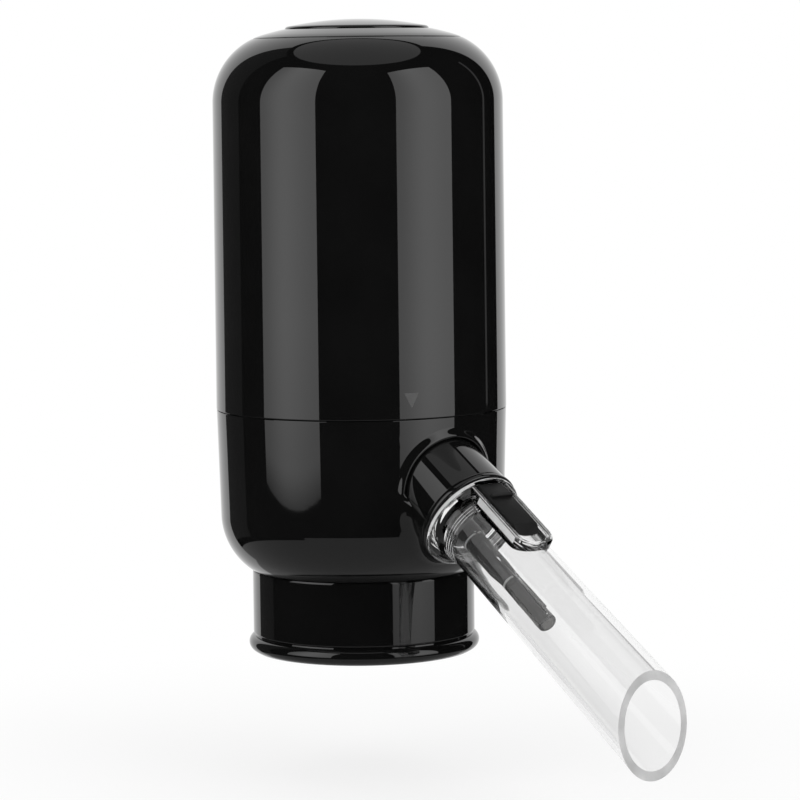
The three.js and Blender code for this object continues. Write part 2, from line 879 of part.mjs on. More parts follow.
// Foot of the pump with the nipple that its air leaves by
function pumpBase() {
  const plate = rod(pumpRadius - seatGap, pumpBottom, pumpBottom + pumpFloor, tubeSides);
  const nipple = rod(nippleRadius, pumpBottom - outletLength, pumpBottom + overrun / 2, smallSides);
  const boreFoot = pumpBottom - outletLength - overrun;
  const bore = rod(airBore, boreFoot, pumpBottom + pumpFloor + overrun, screwSides);
  const outlet = [nipple, bore].map((shape) => solid(shape.translate(0, airLineOffset, 0)));
  return cut(join(solid(plate), outlet[0]), outlet[1]);
}

// Rubber diaphragm clamped between the pump's foot and its chamber
function pumpDiaphragm() {
  const top = diaphragmBottom + diaphragmThick;
  const rim = pumpRadius - seatGap;
  return turned(
    [
      [0, diaphragmBottom],
      [rim, diaphragmBottom],
      [rim, top],
      [rim - chamberWall, top],
      [rim - chamberWall * 2, top - diaphragmDepth],
      [crankRadius, top - diaphragmDepth],
      [crankRadius / 2, top],
      [0, top],
    ],
    tubeSides,
  );
}

// Chamber over the diaphragm, open below and round the shaft
function pumpChamber() {
  const outer = pumpRadius - seatGap;
  const profile = [
    [outer - chamberWall, chamberBottom],
    [outer, chamberBottom],
    [outer, chamberTop],
    [motorBoss + seatGap, chamberTop],
    [motorBoss + seatGap, chamberTop - chamberWall],
    [outer - chamberWall, chamberTop - chamberWall],
  ];
  return turned(profile, tubeSides);
}

// Motor can with a boss at each end and a bore for its shaft
function pumpMotor() {
  const bore = shaftRadius + shaftGap;
  const edge = motorBossHeight / 2;
  const profile = [
    [bore, motorBottom - motorBossHeight],
    [motorBoss, motorBottom - motorBossHeight],
    [motorBoss, motorBottom],
    [motorRadius - edge, motorBottom],
    [motorRadius, motorBottom + edge],
    [motorRadius, motorTop - edge],
    [motorRadius - edge, motorTop],
    [motorBoss, motorTop],
    [motorBoss, motorTop + motorBossHeight],
    [bore, motorTop + motorBossHeight],
  ];
  return turned(profile, tubeSides);
}

// Motor shaft with the eccentric that works the diaphragm
function motorShaft() {
  const crankTop = chamberTop - chamberWall - runGap;
  const shaft = rod(shaftRadius, crankTop - crankHeight, motorTop + motorBossHeight, smallSides);
  const crank = rod(crankRadius, crankTop - crankHeight, crankTop, smallSides).translate(crankOffset, 0, 0);
  const pin = rod(shaftRadius, crankTop - crankHeight * 2, crankTop, smallSides);
  return join(solid(shaft), solid(crank), solid(pin.translate(crankOffset * 2, 0, 0)));
}

// Follower on the diaphragm, with a cup that the eccentric's pin turns in
function pumpFollower() {
  const low = diaphragmBottom + diaphragmThick + runGap;
  const disc = low + followerThick;
  const bore = crankOffset * 2 + shaftRadius + runGap;
  return turned(
    [
      [0, low],
      [followerRadius, low],
      [followerRadius, disc],
      [bore + followerWall, disc],
      [bore + followerWall, disc + followerCup],
      [bore, disc + followerCup],
      [bore, disc],
      [0, disc],
    ],
    smallSides,
  );
}

// Foam ring that keeps the motor from rattling under the holder's top
const motorPad = () =>
  ring(padBore, padRadius, motorTop + seatGap, holderRoof - seatGap, smallSides);

const cellAngle = (i) => (360 * (i + 0.5)) / cellCount;

// Holder: a tube round the pump, a plate at each end, and fins beside every cell
function cellHolder() {
  const bands = cellEdgeRadius + contactThick;
  const profile = [
    [holderBore, deckTop + seatGap],
    [holderTube, deckTop + seatGap],
    [holderTube, holderFloor],
    [holderRadius, holderFloor],
    [holderRadius, holderFloor + holderPlate],
    [holderTube, holderFloor + holderPlate],
    [holderTube, holderRoof],
    [holderRadius, holderRoof],
    [holderRadius, holderTop],
    [wireHole, holderTop],
    [wireHole, holderRoof],
    [holderBore, holderRoof],
  ];
  let body = solid(turned(profile, tubeSides));
  const offset = cellRadius + cellGap + finThick / 2;
  const root = Math.sqrt((holderBore + tubeWall / 2) ** 2 - offset ** 2);
  const low = cellFloor + bands;
  const high = cellRoof - bands;
  for (let i = 0; i < cellCount; i++) {
    for (const side of [-offset, offset]) {
      const fin = box(root, holderRadius - finInset, side - finThick / 2, side + finThick / 2, low, high);
      body = body.add(solid(fin.rotateZ(turn(cellAngle(i)))));
    }
  }
  for (let i = 0; i < screwCount; i++) {
    const hole = rod(screwShank + seatGap, holderFloor - overrun, cellFloor + overrun, screwSides);
    const peg = rod(pegRadius, holderRoof + seatGap, boardTop, screwSides);
    const pad = rod(pegRadius + runGap, holderRoof + seatGap, boardFloor - seatGap, screwSides);
    body = body.subtract(solid(atAngle(hole, holderAngle(i), cellRing)));
    body = body.add(solid(atAngle(peg, holderAngle(i), pegRing)));
    body = body.add(solid(atAngle(pad, holderAngle(i), pegRing)));
  }
  return body;
}

// Cell with its nub up, or down where it is flipped
function cell(i) {
  const flipped = i % 2 === 1;
  const profile = [
    [0, 0],
    [cellRadius - cellEdgeRadius, 0],
    [cellRadius, cellEdgeRadius],
    [cellRadius, cellLength - nubHeight - cellEdgeRadius],
    [cellRadius - cellEdgeRadius, cellLength - nubHeight],
    [nubRadius, cellLength - nubHeight],
    [nubRadius, cellLength],
    [0, cellLength],
  ];
  const shape = turned(profile, smallSides);
  if (flipped) shape.rotateX(Math.PI).translate(0, 0, cellLength);
  const low = flipped ? cellFloor : cellRoof - cellLength;
  return atAngle(shape.translate(0, 0, low), cellAngle(i), cellRing);
}

// Spring at a cell's flat end
function cellSpring(i) {
  const flipped = i % 2 === 1;
  const low = flipped ? cellFloor + cellLength + seatGap : cellFloor;
  const wound = coil(cellSpringRadius, springWire, low, low + cellSpringHeight, cellSpringTurns);
  return atAngle(wound, cellAngle(i), cellRing);
}

// Contact strip over one or two cells, from the first to the last
function contactStrip(first, last, low) {
  const inner = holderTube + contactInset;
  const outer = holderRadius - contactInset;
  const [from, to] = [cellAngle(first) - contactDegrees, cellAngle(last) + contactDegrees];
  return sector(inner, outer, from, to, low, low + contactThick);
}

// Round board over the holder, on three pegs
function circuitBoard() {
  let body = solid(rod(boardRadius, boardFloor, boardTop - seatGap, tubeSides));
  for (let i = 0; i < screwCount; i++) {
    const hole = rod(pegRadius + seatGap, boardFloor - overrun, boardTop + overrun, screwSides);
    body = body.subtract(solid(atAngle(hole, holderAngle(i), pegRing)));
  }
  return body;
}

// Body of the switch, with the hole that its stem works in
function tactSwitch() {
  const half = switchSide / 2;
  const can = box(-half, half, -half, half, boardTop, switchTop);
  return cut(solid(can), solid(rod(stemRadius + runGap, switchTop - stemHeight * 2, stemTop, smallSides)));
}

const switchStem = () =>
  rod(stemRadius, switchTop - stemHeight * 2 + stemTravel + runGap, stemTop, smallSides);

// Section of a seal ring, with four corners
const sealSection = (r, z, wire) => arc(r, z, wire, 0, 360 - 360 / sealSides, sealSides - 1);

// Seal ring in the spigot's groove
function sealRing() {
  const centre = coverBore - runGap / 2 - sealWire;
  return turned(sealSection(centre, sealHeight, sealWire), shellSides);
}

// Socket for the spout, with a hub for the elbow and a thin end ring
function spoutCollar() {
  const outer = collarFarLength - endRing;
  return turned(
    [
      [wineBore, collarNearLength - hubLength],
      [pipeRadius, collarNearLength - hubLength],
      [pipeRadius, collarNearLength],
      [collarRadius, collarNearLength],
      [collarRadius, collarNearLength + collarFloor],
      [collarRadius + collarFlareWidth, outer - endGroove * 2],
      [collarRadius, outer - endGroove],
      [collarRadius, outer],
      [endRingRadius, outer + endGroove],
      [endRingRadius, collarFarLength],
      [collarBore, collarFarLength],
      [collarBore, collarNearLength + collarFloor],
      [wineBore, collarNearLength + collarFloor],
    ],
    tubeSides,
  );
}

const plugStart = collarNearLength + collarFloor + runGap;
const tubeStart = collarFarLength + runGap;
const blockEnd = tubeStart + blockLength;
const sliderStart = tubeStart + runGap * 2;
const ringPlace = (i) => plugStart + (tubeStart - plugStart) * ringPlaceShares[i];

// Half width of the tube's outside at a place along it
function tubeOutside(along) {
  const from = tubeStart + tubeNeck;
  return tubeBaseRadius + ((tubeTipRadius - tubeBaseRadius) * (along - from)) / (spoutLength - from);
}

// Clear tube turned about its axis: plug with two grooves, flange, neck and a long flare
function spoutTurned() {
  const long = spoutLength + tubeTipRadius;
  const inside = (along) => tubeOutside(Math.max(along, tubeStart + tubeNeck)) - tubeThick;
  const grooves = [];
  for (let i = 0; i < ringCount; i++) {
    const half = ringWire + seatGap;
    const floor = plugRadius - ringWire - seatGap;
    const [low, high] = [ringPlace(i) - half, ringPlace(i) + half];
    grooves.push([plugRadius, low], [floor, low], [floor, high], [plugRadius, high]);
  }
  const flangeEnd = tubeStart + spoutFlangeThick;
  const neck = tubeNeck - spoutFlangeThick;
  return turned(
    [
      [inside(plugStart), plugStart],
      [plugRadius, plugStart],
      ...grooves,
      [plugRadius, tubeStart],
      [spoutFlange, tubeStart],
      [spoutFlange, flangeEnd],
      [spoutFlange - (spoutFlange - tubeBaseRadius) * neckInShare, flangeEnd + neck * neckRunShare],
      [tubeBaseRadius, tubeStart + tubeNeck],
      [tubeOutside(long), long],
      [inside(long), long],
      [inside(plugStart), tubeStart + tubeNeck],
    ],
    tubeSides,
  );
}

// A plan in the spout's X and length, raised along the spout's Y
function plan(points, low, high, bevel) {
  const shape = new THREE.Shape(points.map(([x, along]) => new THREE.Vector2(x, along)));
  const options = { depth: high - low - bevel, bevelEnabled: bevel > 0, bevelSize: bevel };
  const more = { bevelThickness: bevel, bevelOffset: -bevel, bevelSegments: bevelSteps };
  const raised = new THREE.ExtrudeGeometry(shape, { ...options, ...more });
  return raised.rotateX(-Math.PI / 2).scale(1, 1, -1).translate(0, low, 0);
}

// A bar's outline with two round corners at its far end
function roundEnd(half, from, to, corner) {
  const right = arc(half - corner, to - corner, corner, 0, 90, cornerSteps);
  const left = arc(corner - half, to - corner, corner, 90, 180, cornerSteps);
  return [[-half, from], [half, from], ...right, ...left];
}

// Clear spout: the turned tube, the block on its top with the slider's slot, and the slanted cut
function spoutTube() {
  const outline = roundEnd(blockHalf, tubeStart + seatGap, blockEnd, blockCornerRadius);
  const raised = mirrored(plan(outline, tubeBaseRadius / 2, blockTop, blockBevelWidth));
  const bore = rod(tubeBaseRadius - tubeThick, tubeStart, blockEnd + overrun, tubeSides);
  const slotStop = blockEnd - slotWall;
  const slot = box(-slotHalf, slotHalf, slotFloor, blockTop + overrun, sliderStart - runGap, slotStop);
  const railRoof = slotFloor + seatGap + railHeight + runGap;
  const railReach = railHalf + runGap;
  const rails = box(-railReach, railReach, slotFloor, railRoof, sliderStart - runGap, slotStop);
  const pinTop = pinMiddle + sliderTravel + pinRadius + runGap;
  const pinSlot = box(-pinRadius - runGap, pinRadius + runGap, 0, slotFloor + overrun / 2, pinFoot, pinTop);
  const whole = join(solid(spoutTurned()), cut(raised, solid(bore)));
  const tube = cut(whole, solid(slot), solid(rails), solid(pinSlot));
  const far = spoutLength * 2;
  const beyond = box(-far, far, -far, far, 0, far);
  beyond.rotateX(-slope - turn(cutLeanDegrees)).translate(0, 0, spoutLength);
  return tube.subtract(solid(beyond));
}

const pinMiddle = sliderStart + pinOffset;
const pinFoot = pinMiddle - pinRadius - runGap;

// A shape that a negative scale turned inside out, put right
function mirrored(geometry) {
  const plain = geometry.index ? geometry.toNonIndexed() : geometry;
  const places = plain.getAttribute("position");
  const fixed = new Float32Array(places.array.length);
  for (let i = 0; i < places.count; i += 3) {
    for (let j = 0; j < 3; j++) {
      fixed.set([places.getX(i + 2 - j), places.getY(i + 2 - j), places.getZ(i + 2 - j)], (i + j) * 3);
    }
  }
  const right = new THREE.BufferGeometry();
  right.setAttribute("position", new THREE.BufferAttribute(fixed, 3));
  return solid(right);
}

// Slider on the spout's top, with a ridge for the finger and a rail along each side
function airSlider() {
  const half = slotHalf - runGap;
  const low = slotFloor + seatGap;
  const end = sliderStart + sliderLength;
  const bar = mirrored(plan(roundEnd(half, sliderStart, end, sliderCornerRadius), low, sliderTop, 0));
  const above = box(-railHalf, railHalf, 0, sliderTop, 0, sliderSlopeRun * 2);
  above.rotateX(Math.atan2(sliderSlopeFall, sliderSlopeRun)).translate(0, sliderTop, end - sliderSlopeRun);
  const top = cut(bar, solid(above));
  const rail = box(-railHalf, railHalf, low, low + railHeight, sliderStart, end - sliderCornerRadius);
  const ridgeLow = sliderStart + ridgeOffset;
  const ridgeHalf = half - runGap;
  const ridgeTop = sliderTop + ridgeHeight;
  const ridge = box(-ridgeHalf, ridgeHalf, low, ridgeTop, ridgeLow, ridgeLow + ridgeThick);
  return join(top, solid(rail), solid(ridge));
}

// Pin under the slider that opens and shuts the air slot
function airPin() {
  const high = slotFloor;
  const pin = rod(pinRadius, 0, pinLength, screwSides);
  return pin.rotateX(-Math.PI / 2).translate(0, high - pinLength, pinMiddle);
}

// Nozzle inside the clear tube, below its axis, from a disc at the tube's neck
function spoutNozzle() {
  const start = tubeStart;
  const cone = start + nozzleWideLength;
  const end = start + nozzleLength;
  const [wide, narrow] = [nozzleWide - nozzleWall, nozzleNarrow - nozzleWall];
  const outside = [
    [0, start],
    [nozzleWide, start],
    [nozzleWide, cone],
    [nozzleNarrow, cone + nozzleCone],
    [nozzleNarrow, end],
    [0, end],
  ];
  const inside = [
    [0, start - overrun],
    [wide, start - overrun],
    [wide, cone],
    [narrow, cone + nozzleCone],
    [narrow, end + overrun],
    [0, end + overrun],
  ];
  const disc = rod(tubeBaseRadius - tubeThick - runGap, start, start + nozzleDisc, tubeSides);
  const [body, bore] = [outside, inside].map((profile) =>
    solid(turned(profile, smallSides).translate(0, -nozzleOffset, 0)),
  );
  return cut(join(solid(disc), body), bore);
}

// Seal ring on the spout's plug
function spoutSeal(i) {
  const centre = plugRadius + (collarBore - plugRadius) / 2 - ringWire / 2;
  return turned(sealSection(centre, ringPlace(i), ringWire - seatGap), tubeSides);
}

// The part's own group
const pourer = new THREE.Group();
const onBottle = new THREE.Group();
onBottle.position.z = -seatHeight;
pourer.add(onBottle);
onBottle.add(spoutFrame);

piece(onBottle, "lower_shell", lowerShell(), glossBlack);
piece(onBottle, "neck_skirt", neckSkirt(), glossBlack);
piece(onBottle, "bottle_stopper", bottleStopper(), silicone);
piece(onBottle, "stopper_core", stopperCore(), mattBlack);
piece(onBottle, "straw_nipple", strawNipple(), silicone);
piece(onBottle, "outlet_elbow", outletElbow(), silicone);
piece(onBottle, "air_hose_upper", hoseRing(hoseTop - hoseStretch, hoseTop, hoseRadius), silicone);
piece(onBottle, "air_hose_lower", hoseRing(hoseFoot, hoseFoot + hoseStretch, hoseRadius), silicone);
piece(onBottle, "check_valve", checkValve(), whitePlastic);
piece(onBottle, "deck_plate", deckPlate(), mattBlack);
piece(onBottle, "pump_base", pumpBase(), whitePlastic);
piece(onBottle, "pump_diaphragm", pumpDiaphragm(), silicone);
piece(onBottle, "pump_follower", pumpFollower(), whitePlastic);
piece(onBottle, "pump_chamber", pumpChamber(), whitePlastic);
piece(onBottle, "pump_motor", pumpMotor(), steel);
piece(onBottle, "motor_shaft", motorShaft(), steel);
piece(onBottle, "motor_pad", motorPad(), foam);
piece(onBottle, "battery_holder", cellHolder(), mattBlack);
for (let i = 0; i < screwCount; i++) {
  const deckScrew = atAngle(screw(deckTop + seatGap), screwAngle(i), postRing);
  const holderScrew = atAngle(screw(holderFloor + holderPlate + seatGap), holderAngle(i), cellRing);
  piece(onBottle, `deck_screw_${i + 1}`, deckScrew, steel);
  piece(onBottle, `holder_screw_${i + 1}`, holderScrew, steel);
}
for (let i = 0; i < cellCount; i++) {
  piece(onBottle, `battery_${i + 1}`, cell(i), cellWrap);
  piece(onBottle, `battery_spring_${i + 1}`, cellSpring(i), steel);
}
const lowStrip = holderFloor + holderPlate + seatGap;
const highStrip = cellRoof + seatGap;
for (let i = 0; i < cellCount / 2; i++) {
  piece(onBottle, `contact_lower_${i + 1}`, contactStrip(i * 2, i * 2 + 1, lowStrip), steel);
}
for (let i = 1; i < cellCount / 2; i++) {
  piece(onBottle, `contact_upper_${i}`, contactStrip(i * 2 - 1, i * 2, highStrip), steel);
}
piece(onBottle, "terminal_plus", contactStrip(0, 0, highStrip), steel);
piece(onBottle, "terminal_minus", contactStrip(cellCount - 1, cellCount - 1, highStrip), steel);
piece(onBottle, "circuit_board", circuitBoard(), boardGreen);
piece(onBottle, "tact_switch", tactSwitch(), mattBlack);
piece(onBottle, "switch_stem", switchStem(), mattBlack);
piece(onBottle, "seal_ring", sealRing(), silicone);
piece(onBottle, "upper_shell", upperShell(), glossBlack);
piece(onBottle, "top_ring", topRing(), glossBlack);
piece(onBottle, "button_carrier", buttonCarrier(), mattBlack);
piece(onBottle, "button_cap", buttonCap(), glossBlack);
piece(onBottle, "button_plunger", buttonPlunger(), whitePlastic);
const springTop = plungerSeat - seatGap;
const buttonSpring = coil(returnSpring, returnWire, carrierTop + seatGap, springTop, returnTurns);
piece(onBottle, "button_spring", buttonSpring, steel);
piece(spoutFrame, "spout_collar", spoutCollar(), glossBlack);
piece(spoutFrame, "spout_tube", spoutTube(), clearPlastic);
piece(spoutFrame, "spout_nozzle", spoutNozzle(), clearPlastic);
for (let i = 0; i < ringCount; i++) {
  piece(spoutFrame, `spout_seal_${i + 1}`, spoutSeal(i), silicone);
}
piece(spoutFrame, "air_slider", airSlider(), mattBlack);
piece(spoutFrame, "air_pin", airPin(), silicone);

export default pourer;
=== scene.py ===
"""Looks of the electric wine pourer: smooth shells, a clear spout and the pieces under the cover.

The classes hold their sizes in millimetres, with heights counted up from the skirt's rim. A mesh
gets metres, in the frame of the CAD part, when it is made.
"""

import json
import logging
import math
from dataclasses import dataclass, field
from enum import Enum
from typing import Callable, Iterable, Optional, Sequence

import bmesh
import bpy
from bpy.types import Mesh, NodeOutputs, NodeSocket, NodeTree, Object
from mathutils import Matrix, Vector


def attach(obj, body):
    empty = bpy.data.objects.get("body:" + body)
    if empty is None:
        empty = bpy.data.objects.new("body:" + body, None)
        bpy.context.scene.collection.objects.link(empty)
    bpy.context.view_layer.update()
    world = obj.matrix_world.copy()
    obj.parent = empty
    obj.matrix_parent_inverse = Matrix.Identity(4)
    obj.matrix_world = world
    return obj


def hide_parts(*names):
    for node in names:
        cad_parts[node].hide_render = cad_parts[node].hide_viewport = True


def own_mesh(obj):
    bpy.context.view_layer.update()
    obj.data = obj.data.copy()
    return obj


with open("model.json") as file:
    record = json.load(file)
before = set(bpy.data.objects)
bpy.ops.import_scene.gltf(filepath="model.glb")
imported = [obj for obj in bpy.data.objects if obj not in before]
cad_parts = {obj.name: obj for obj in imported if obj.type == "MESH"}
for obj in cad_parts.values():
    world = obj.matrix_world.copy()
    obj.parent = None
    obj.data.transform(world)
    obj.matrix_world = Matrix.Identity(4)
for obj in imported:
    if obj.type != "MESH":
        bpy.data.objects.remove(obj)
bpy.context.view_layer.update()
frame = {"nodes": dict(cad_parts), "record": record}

log = logging.getLogger("pourer")

Point = tuple[float, float]
Corner = tuple[float, float, float]

Colour = tuple[float, float, float]

HERE = Matrix().freeze()  # no change of frame
MM = 0.001
RIM_TO_SEAT = 24.0  # from the skirt's rim up to the bottle's lip, the frame's origin
END_RUN = 0.08  # how close to a rounding its support points are
MERGE = 1e-5  # points nearer than this are one
SIDE_SHARE = 0.48  # the most of a profile's side that one rounding takes
ACRYLIC = 1.49  # index of refraction
RELIEF_DEPTH = 0.0001  # metres
LUG_MIDDLES = (30.0, 150.0, 270.0)  # degrees, for the cover's lugs and their pockets in the housing


class Body(Enum):
    """Bodies of the CAD frame that a piece can ride on."""

    HOUSING = "housing"
    COVER = "cover"
    BUTTON = "button"
    SPOUT = "spout"
    SLIDER = "slider"


class Slot(Enum):
    """Material slots of the record."""

    GLOSS_BLACK = "gloss_black"
    MATTE_BLACK = "matte_black"
    CLEAR = "clear_plastic"
    SILICONE = "silicone"
    WHITE = "white_plastic"
    STEEL = "steel"
    CELL = "cell_sleeve"
    BOARD = "board_green"


class Cut(Enum):
    """What a boolean does to its target."""

    TAKE_AWAY = "DIFFERENCE"
    ADD = "UNION"


# Profiles


def rounded(corners: Sequence[Corner], steps: int = 5) -> list[Point]:
    """Rounds each corner of a closed profile by its own radius.

    Args:
        corners: Radius from the axis, height and rounding of each corner, in order.
        steps: Segments in each rounding.

    Returns:
        The profile's points, in the same order.
    """
    points: list[Point] = []
    count = len(corners)
    for i, (r, z, size) in enumerate(corners):
        here = Vector((r, z))
        before = Vector(corners[i - 1][:2]) - here
        after = Vector(corners[(i + 1) % count][:2]) - here
        if size <= 0 or before.length < 1e-6 or after.length < 1e-6:
            points.append((r, z))
            continue
        half = before.angle(after) / 2
        reach = min(size / math.tan(half), before.length * SIDE_SHARE, after.length * SIDE_SHARE)
        real = reach * math.tan(half)
        first = here + before.normalized() * reach
        last = here + after.normalized() * reach
        centre = here + (before.normalized() + after.normalized()).normalized() * (real / math.sin(half))
        start, end = first - centre, last - centre
        swing = start.angle_signed(end)
        for k in range(steps + 1):
            turn = Matrix.Rotation(-swing * k / steps, 2)
            place = centre + turn @ start
            points.append((place.x, place.y))
    return points


def arc(r: float, z: float, radius: float, start: float, end: float, steps: int) -> list[Point]:
    """Points of an arc about (r, z), between two angles in degrees."""
    angles = [math.radians(start + (end - start) * i / steps) for i in range(steps + 1)]
    return [(r + radius * math.cos(a), z + radius * math.sin(a)) for a in angles]


def dense(points: Sequence[Point], longest: float, closed: bool = True) -> list[Point]:
    """Splits the long straight runs of a profile, so that shading stays true beside roundings.

    Args:
        points: The profile.
        longest: The longest run that stays whole.
        closed: Whether the last point joins the first.

    Returns:
        The profile with more points. A split run also gets one close to each of its ends.
    """
    result: list[Point] = []
    count = len(points)
    for i, here in enumerate(points):
        result.append(here)
        if i == count - 1 and not closed:
            break
        there = points[(i + 1) % count]
        long = math.dist(here, there)
        pieces = int(long / longest)
        if pieces == 0:
            continue
        shares = [END_RUN / long, *(k / (pieces + 1) for k in range(1, pieces + 1)), 1 - END_RUN / long]
        for share in shares:
            result.append((here[0] + (there[0] - here[0]) * share, here[1] + (there[1] - here[1]) * share))
    return result


def sector(inner: float, outer: float, start: float, end: float, z: float, steps: int) -> list[Vector]:
    """Outline of a part of a ring about the axis, at one height, between two angles in degrees."""
    there, back = arc(0, 0, outer, start, end, steps), arc(0, 0, inner, end, start, steps)
    return [Vector((x, y, z)) for x, y in there + back]


def rectangle(x: float, y: float, z: float) -> list[Vector]:
    """Outline of a rectangle about the axis, at one height, from its half widths."""
    return [Vector((a * x, b * y, z)) for a, b in ((-1, -1), (1, -1), (1, 1), (-1, 1))]


# Meshes


def on_bottle() -> Matrix:
    """Frame of the classes' sizes: millimetres from the rim, into metres from the seat."""
    return Matrix.Scale(MM, 4) @ Matrix.Translation((0, 0, -RIM_TO_SEAT))


def tidy(work: bmesh.types.BMesh) -> None:
    """Merges doubles and turns the faces of a closed mesh outwards."""
    bmesh.ops.remove_doubles(work, verts=work.verts, dist=MERGE)
    bmesh.ops.dissolve_degenerate(work, edges=work.edges, dist=MERGE)
    bmesh.ops.recalc_face_normals(work, faces=work.faces)


def smooth(obj: Object, degrees: float = 32.0) -> Object:
    """Shades an object smooth, but sharp over edges that turn more than an angle."""
    obj.data.shade_smooth()
    obj.data.set_sharp_from_angle(angle=math.radians(degrees))
    return obj


def as_object(name: str, work: bmesh.types.BMesh, place: Matrix = HERE) -> Object:
    """Ends the work on a mesh and puts it in the scene.

    Args:
        name: The new object's name.
        work: The mesh. It is freed.
        place: The frame that it was made in.

    Returns:
        The new object.
    """
    mesh = bpy.data.meshes.new(name)
    work.to_mesh(mesh)
    work.free()
    mesh.transform(place)
    obj = bpy.data.objects.new(name, mesh)
    bpy.context.scene.collection.objects.link(obj)
    return obj


def revolve(name: str, profile: Sequence[Point], sides: int, place: Matrix = HERE) -> Object:
    """Turns a closed profile about Z.

    Args:
        name: The new object's name.
        profile: Points of radius and height in millimetres. It may touch the axis.
        sides: Segments round the axis.
        place: Where it goes, from the classes' frame.

    Returns:
        A closed object with its faces outwards.
    """
    work = bmesh.new()
    angles = [math.tau * k / sides for k in range(sides)]
    rings: list[list[bmesh.types.BMVert]] = []
    for r, z in profile:
        turns = angles if r >= MERGE else [0.0]
        rings.append([work.verts.new((r * math.cos(a), r * math.sin(a), z)) for a in turns])
    for one, two in zip(rings, rings[1:] + rings[:1]):
        if len(one) == len(two) == 1:
            continue
        for k in range(sides):
            n = (k + 1) % sides
            corners = (one[k % len(one)], two[k % len(two)], two[n % len(two)], one[n % len(one)])
            work.faces.new(tuple(dict.fromkeys(corners)))
    tidy(work)
    return smooth(as_object(name, work, on_bottle() @ place))


def loft(name: str, levels: Sequence[Sequence[Vector]], place: Matrix = HERE) -> Object:
    """Joins outlines of equal count into one closed solid with flat ends."""
    work = bmesh.new()
    rings = [[work.verts.new(p) for p in level] for level in levels]
    count = len(rings[0])
    for low, high in zip(rings, rings[1:]):
        for k in range(count):
            n = (k + 1) % count
            work.faces.new((low[k], low[n], high[n], high[k]))
    work.faces.new(rings[0][::-1])
    work.faces.new(rings[-1])
    tidy(work)
    return smooth(as_object(name, work, on_bottle() @ place))


def apply_modifiers(obj: Object) -> None:
    """Turns an object's modifiers into its own mesh, and removes them."""
    graph = bpy.context.evaluated_depsgraph_get()
    graph.update()
    made = bpy.data.meshes.new_from_object(obj.evaluated_get(graph), depsgraph=graph)
    obj.modifiers.clear()
    old = obj.data
    obj.data = made
    if old.users == 0:
        bpy.data.meshes.remove(old)


def drop(*objects: Object) -> None:
    """Removes helper objects and their meshes."""
    for obj in objects:
        mesh = obj.data
        bpy.data.objects.remove(obj)
        if mesh.users == 0:
            bpy.data.meshes.remove(mesh)


def combine(target: Object, cutter: Object, how: Cut) -> Object:
    """Runs one boolean on a target and removes its cutter."""
    modifier = target.modifiers.new("cut", "BOOLEAN")
    modifier.operation = how.value
    modifier.solver = "EXACT"
    modifier.object = cutter
    apply_modifiers(target)
    drop(cutter)
    return target


def merged(name: str, parts: Sequence[Object]) -> Object:
    """Puts several closed objects into one object."""
    work = bmesh.new()
    for part in parts:
        work.from_mesh(part.data)
    drop(*parts)
    return smooth(as_object(name, work))


# Node trees


@dataclass
class Wiring:
    """A node tree that is put together node by node."""

    tree: NodeTree

    def join(self, node: bpy.types.Node, wires: dict[str | int, object]) -> NodeOutputs:
        """Sets a node's inputs.

        Args:
            node: The node.
            wires: A socket to link, or a plain value, for each input by name or number.

        Returns:
            The node's outputs.
        """
        for label, value in wires.items():
            if isinstance(value, NodeSocket):
                self.tree.links.new(value, node.inputs[label])
            else:
                node.inputs[label].default_value = value
        return node.outputs

    def add(self, kind: str, wires: Optional[dict[str | int, object]] = None, **settings: object) -> NodeOutputs:
        """Adds one node.

        Args:
            kind: The node's type.
            wires: Its inputs, as for join.
            settings: Properties of the node itself.

        Returns:
            The node's outputs.
        """
        node = self.tree.nodes.new(kind)
        for label, value in settings.items():
            setattr(node, label, value)
        return self.join(node, wires or {})

    def sums(self, operation: str, *terms: object) -> NodeSocket:
        """One step of arithmetic on sockets or numbers."""
        return self.add("ShaderNodeMath", dict(enumerate(terms)), operation=operation)[0]

    def ramp(self, share: NodeSocket, stops: Iterable[tuple[float, Colour]], blend: str = "LINEAR") -> NodeSocket:
        """A colour that follows a value.

        Args:
            share: The value.
            stops: Values in rising order, each with its colour.
            blend: How the ramp runs between them.

        Returns:
            The colour's socket.
        """
        colour = self.add("ShaderNodeValToRGB", {"Fac": share})["Color"]
        ramp = colour.node.color_ramp
        ramp.interpolation = blend
        ramp.elements.remove(ramp.elements[1])
        for i, (spot, shade) in enumerate(stops):
            stop = ramp.elements.new(spot) if i else ramp.elements[0]
            stop.position = spot
            stop.color = (*shade, 1)
        return colour


# Finishes


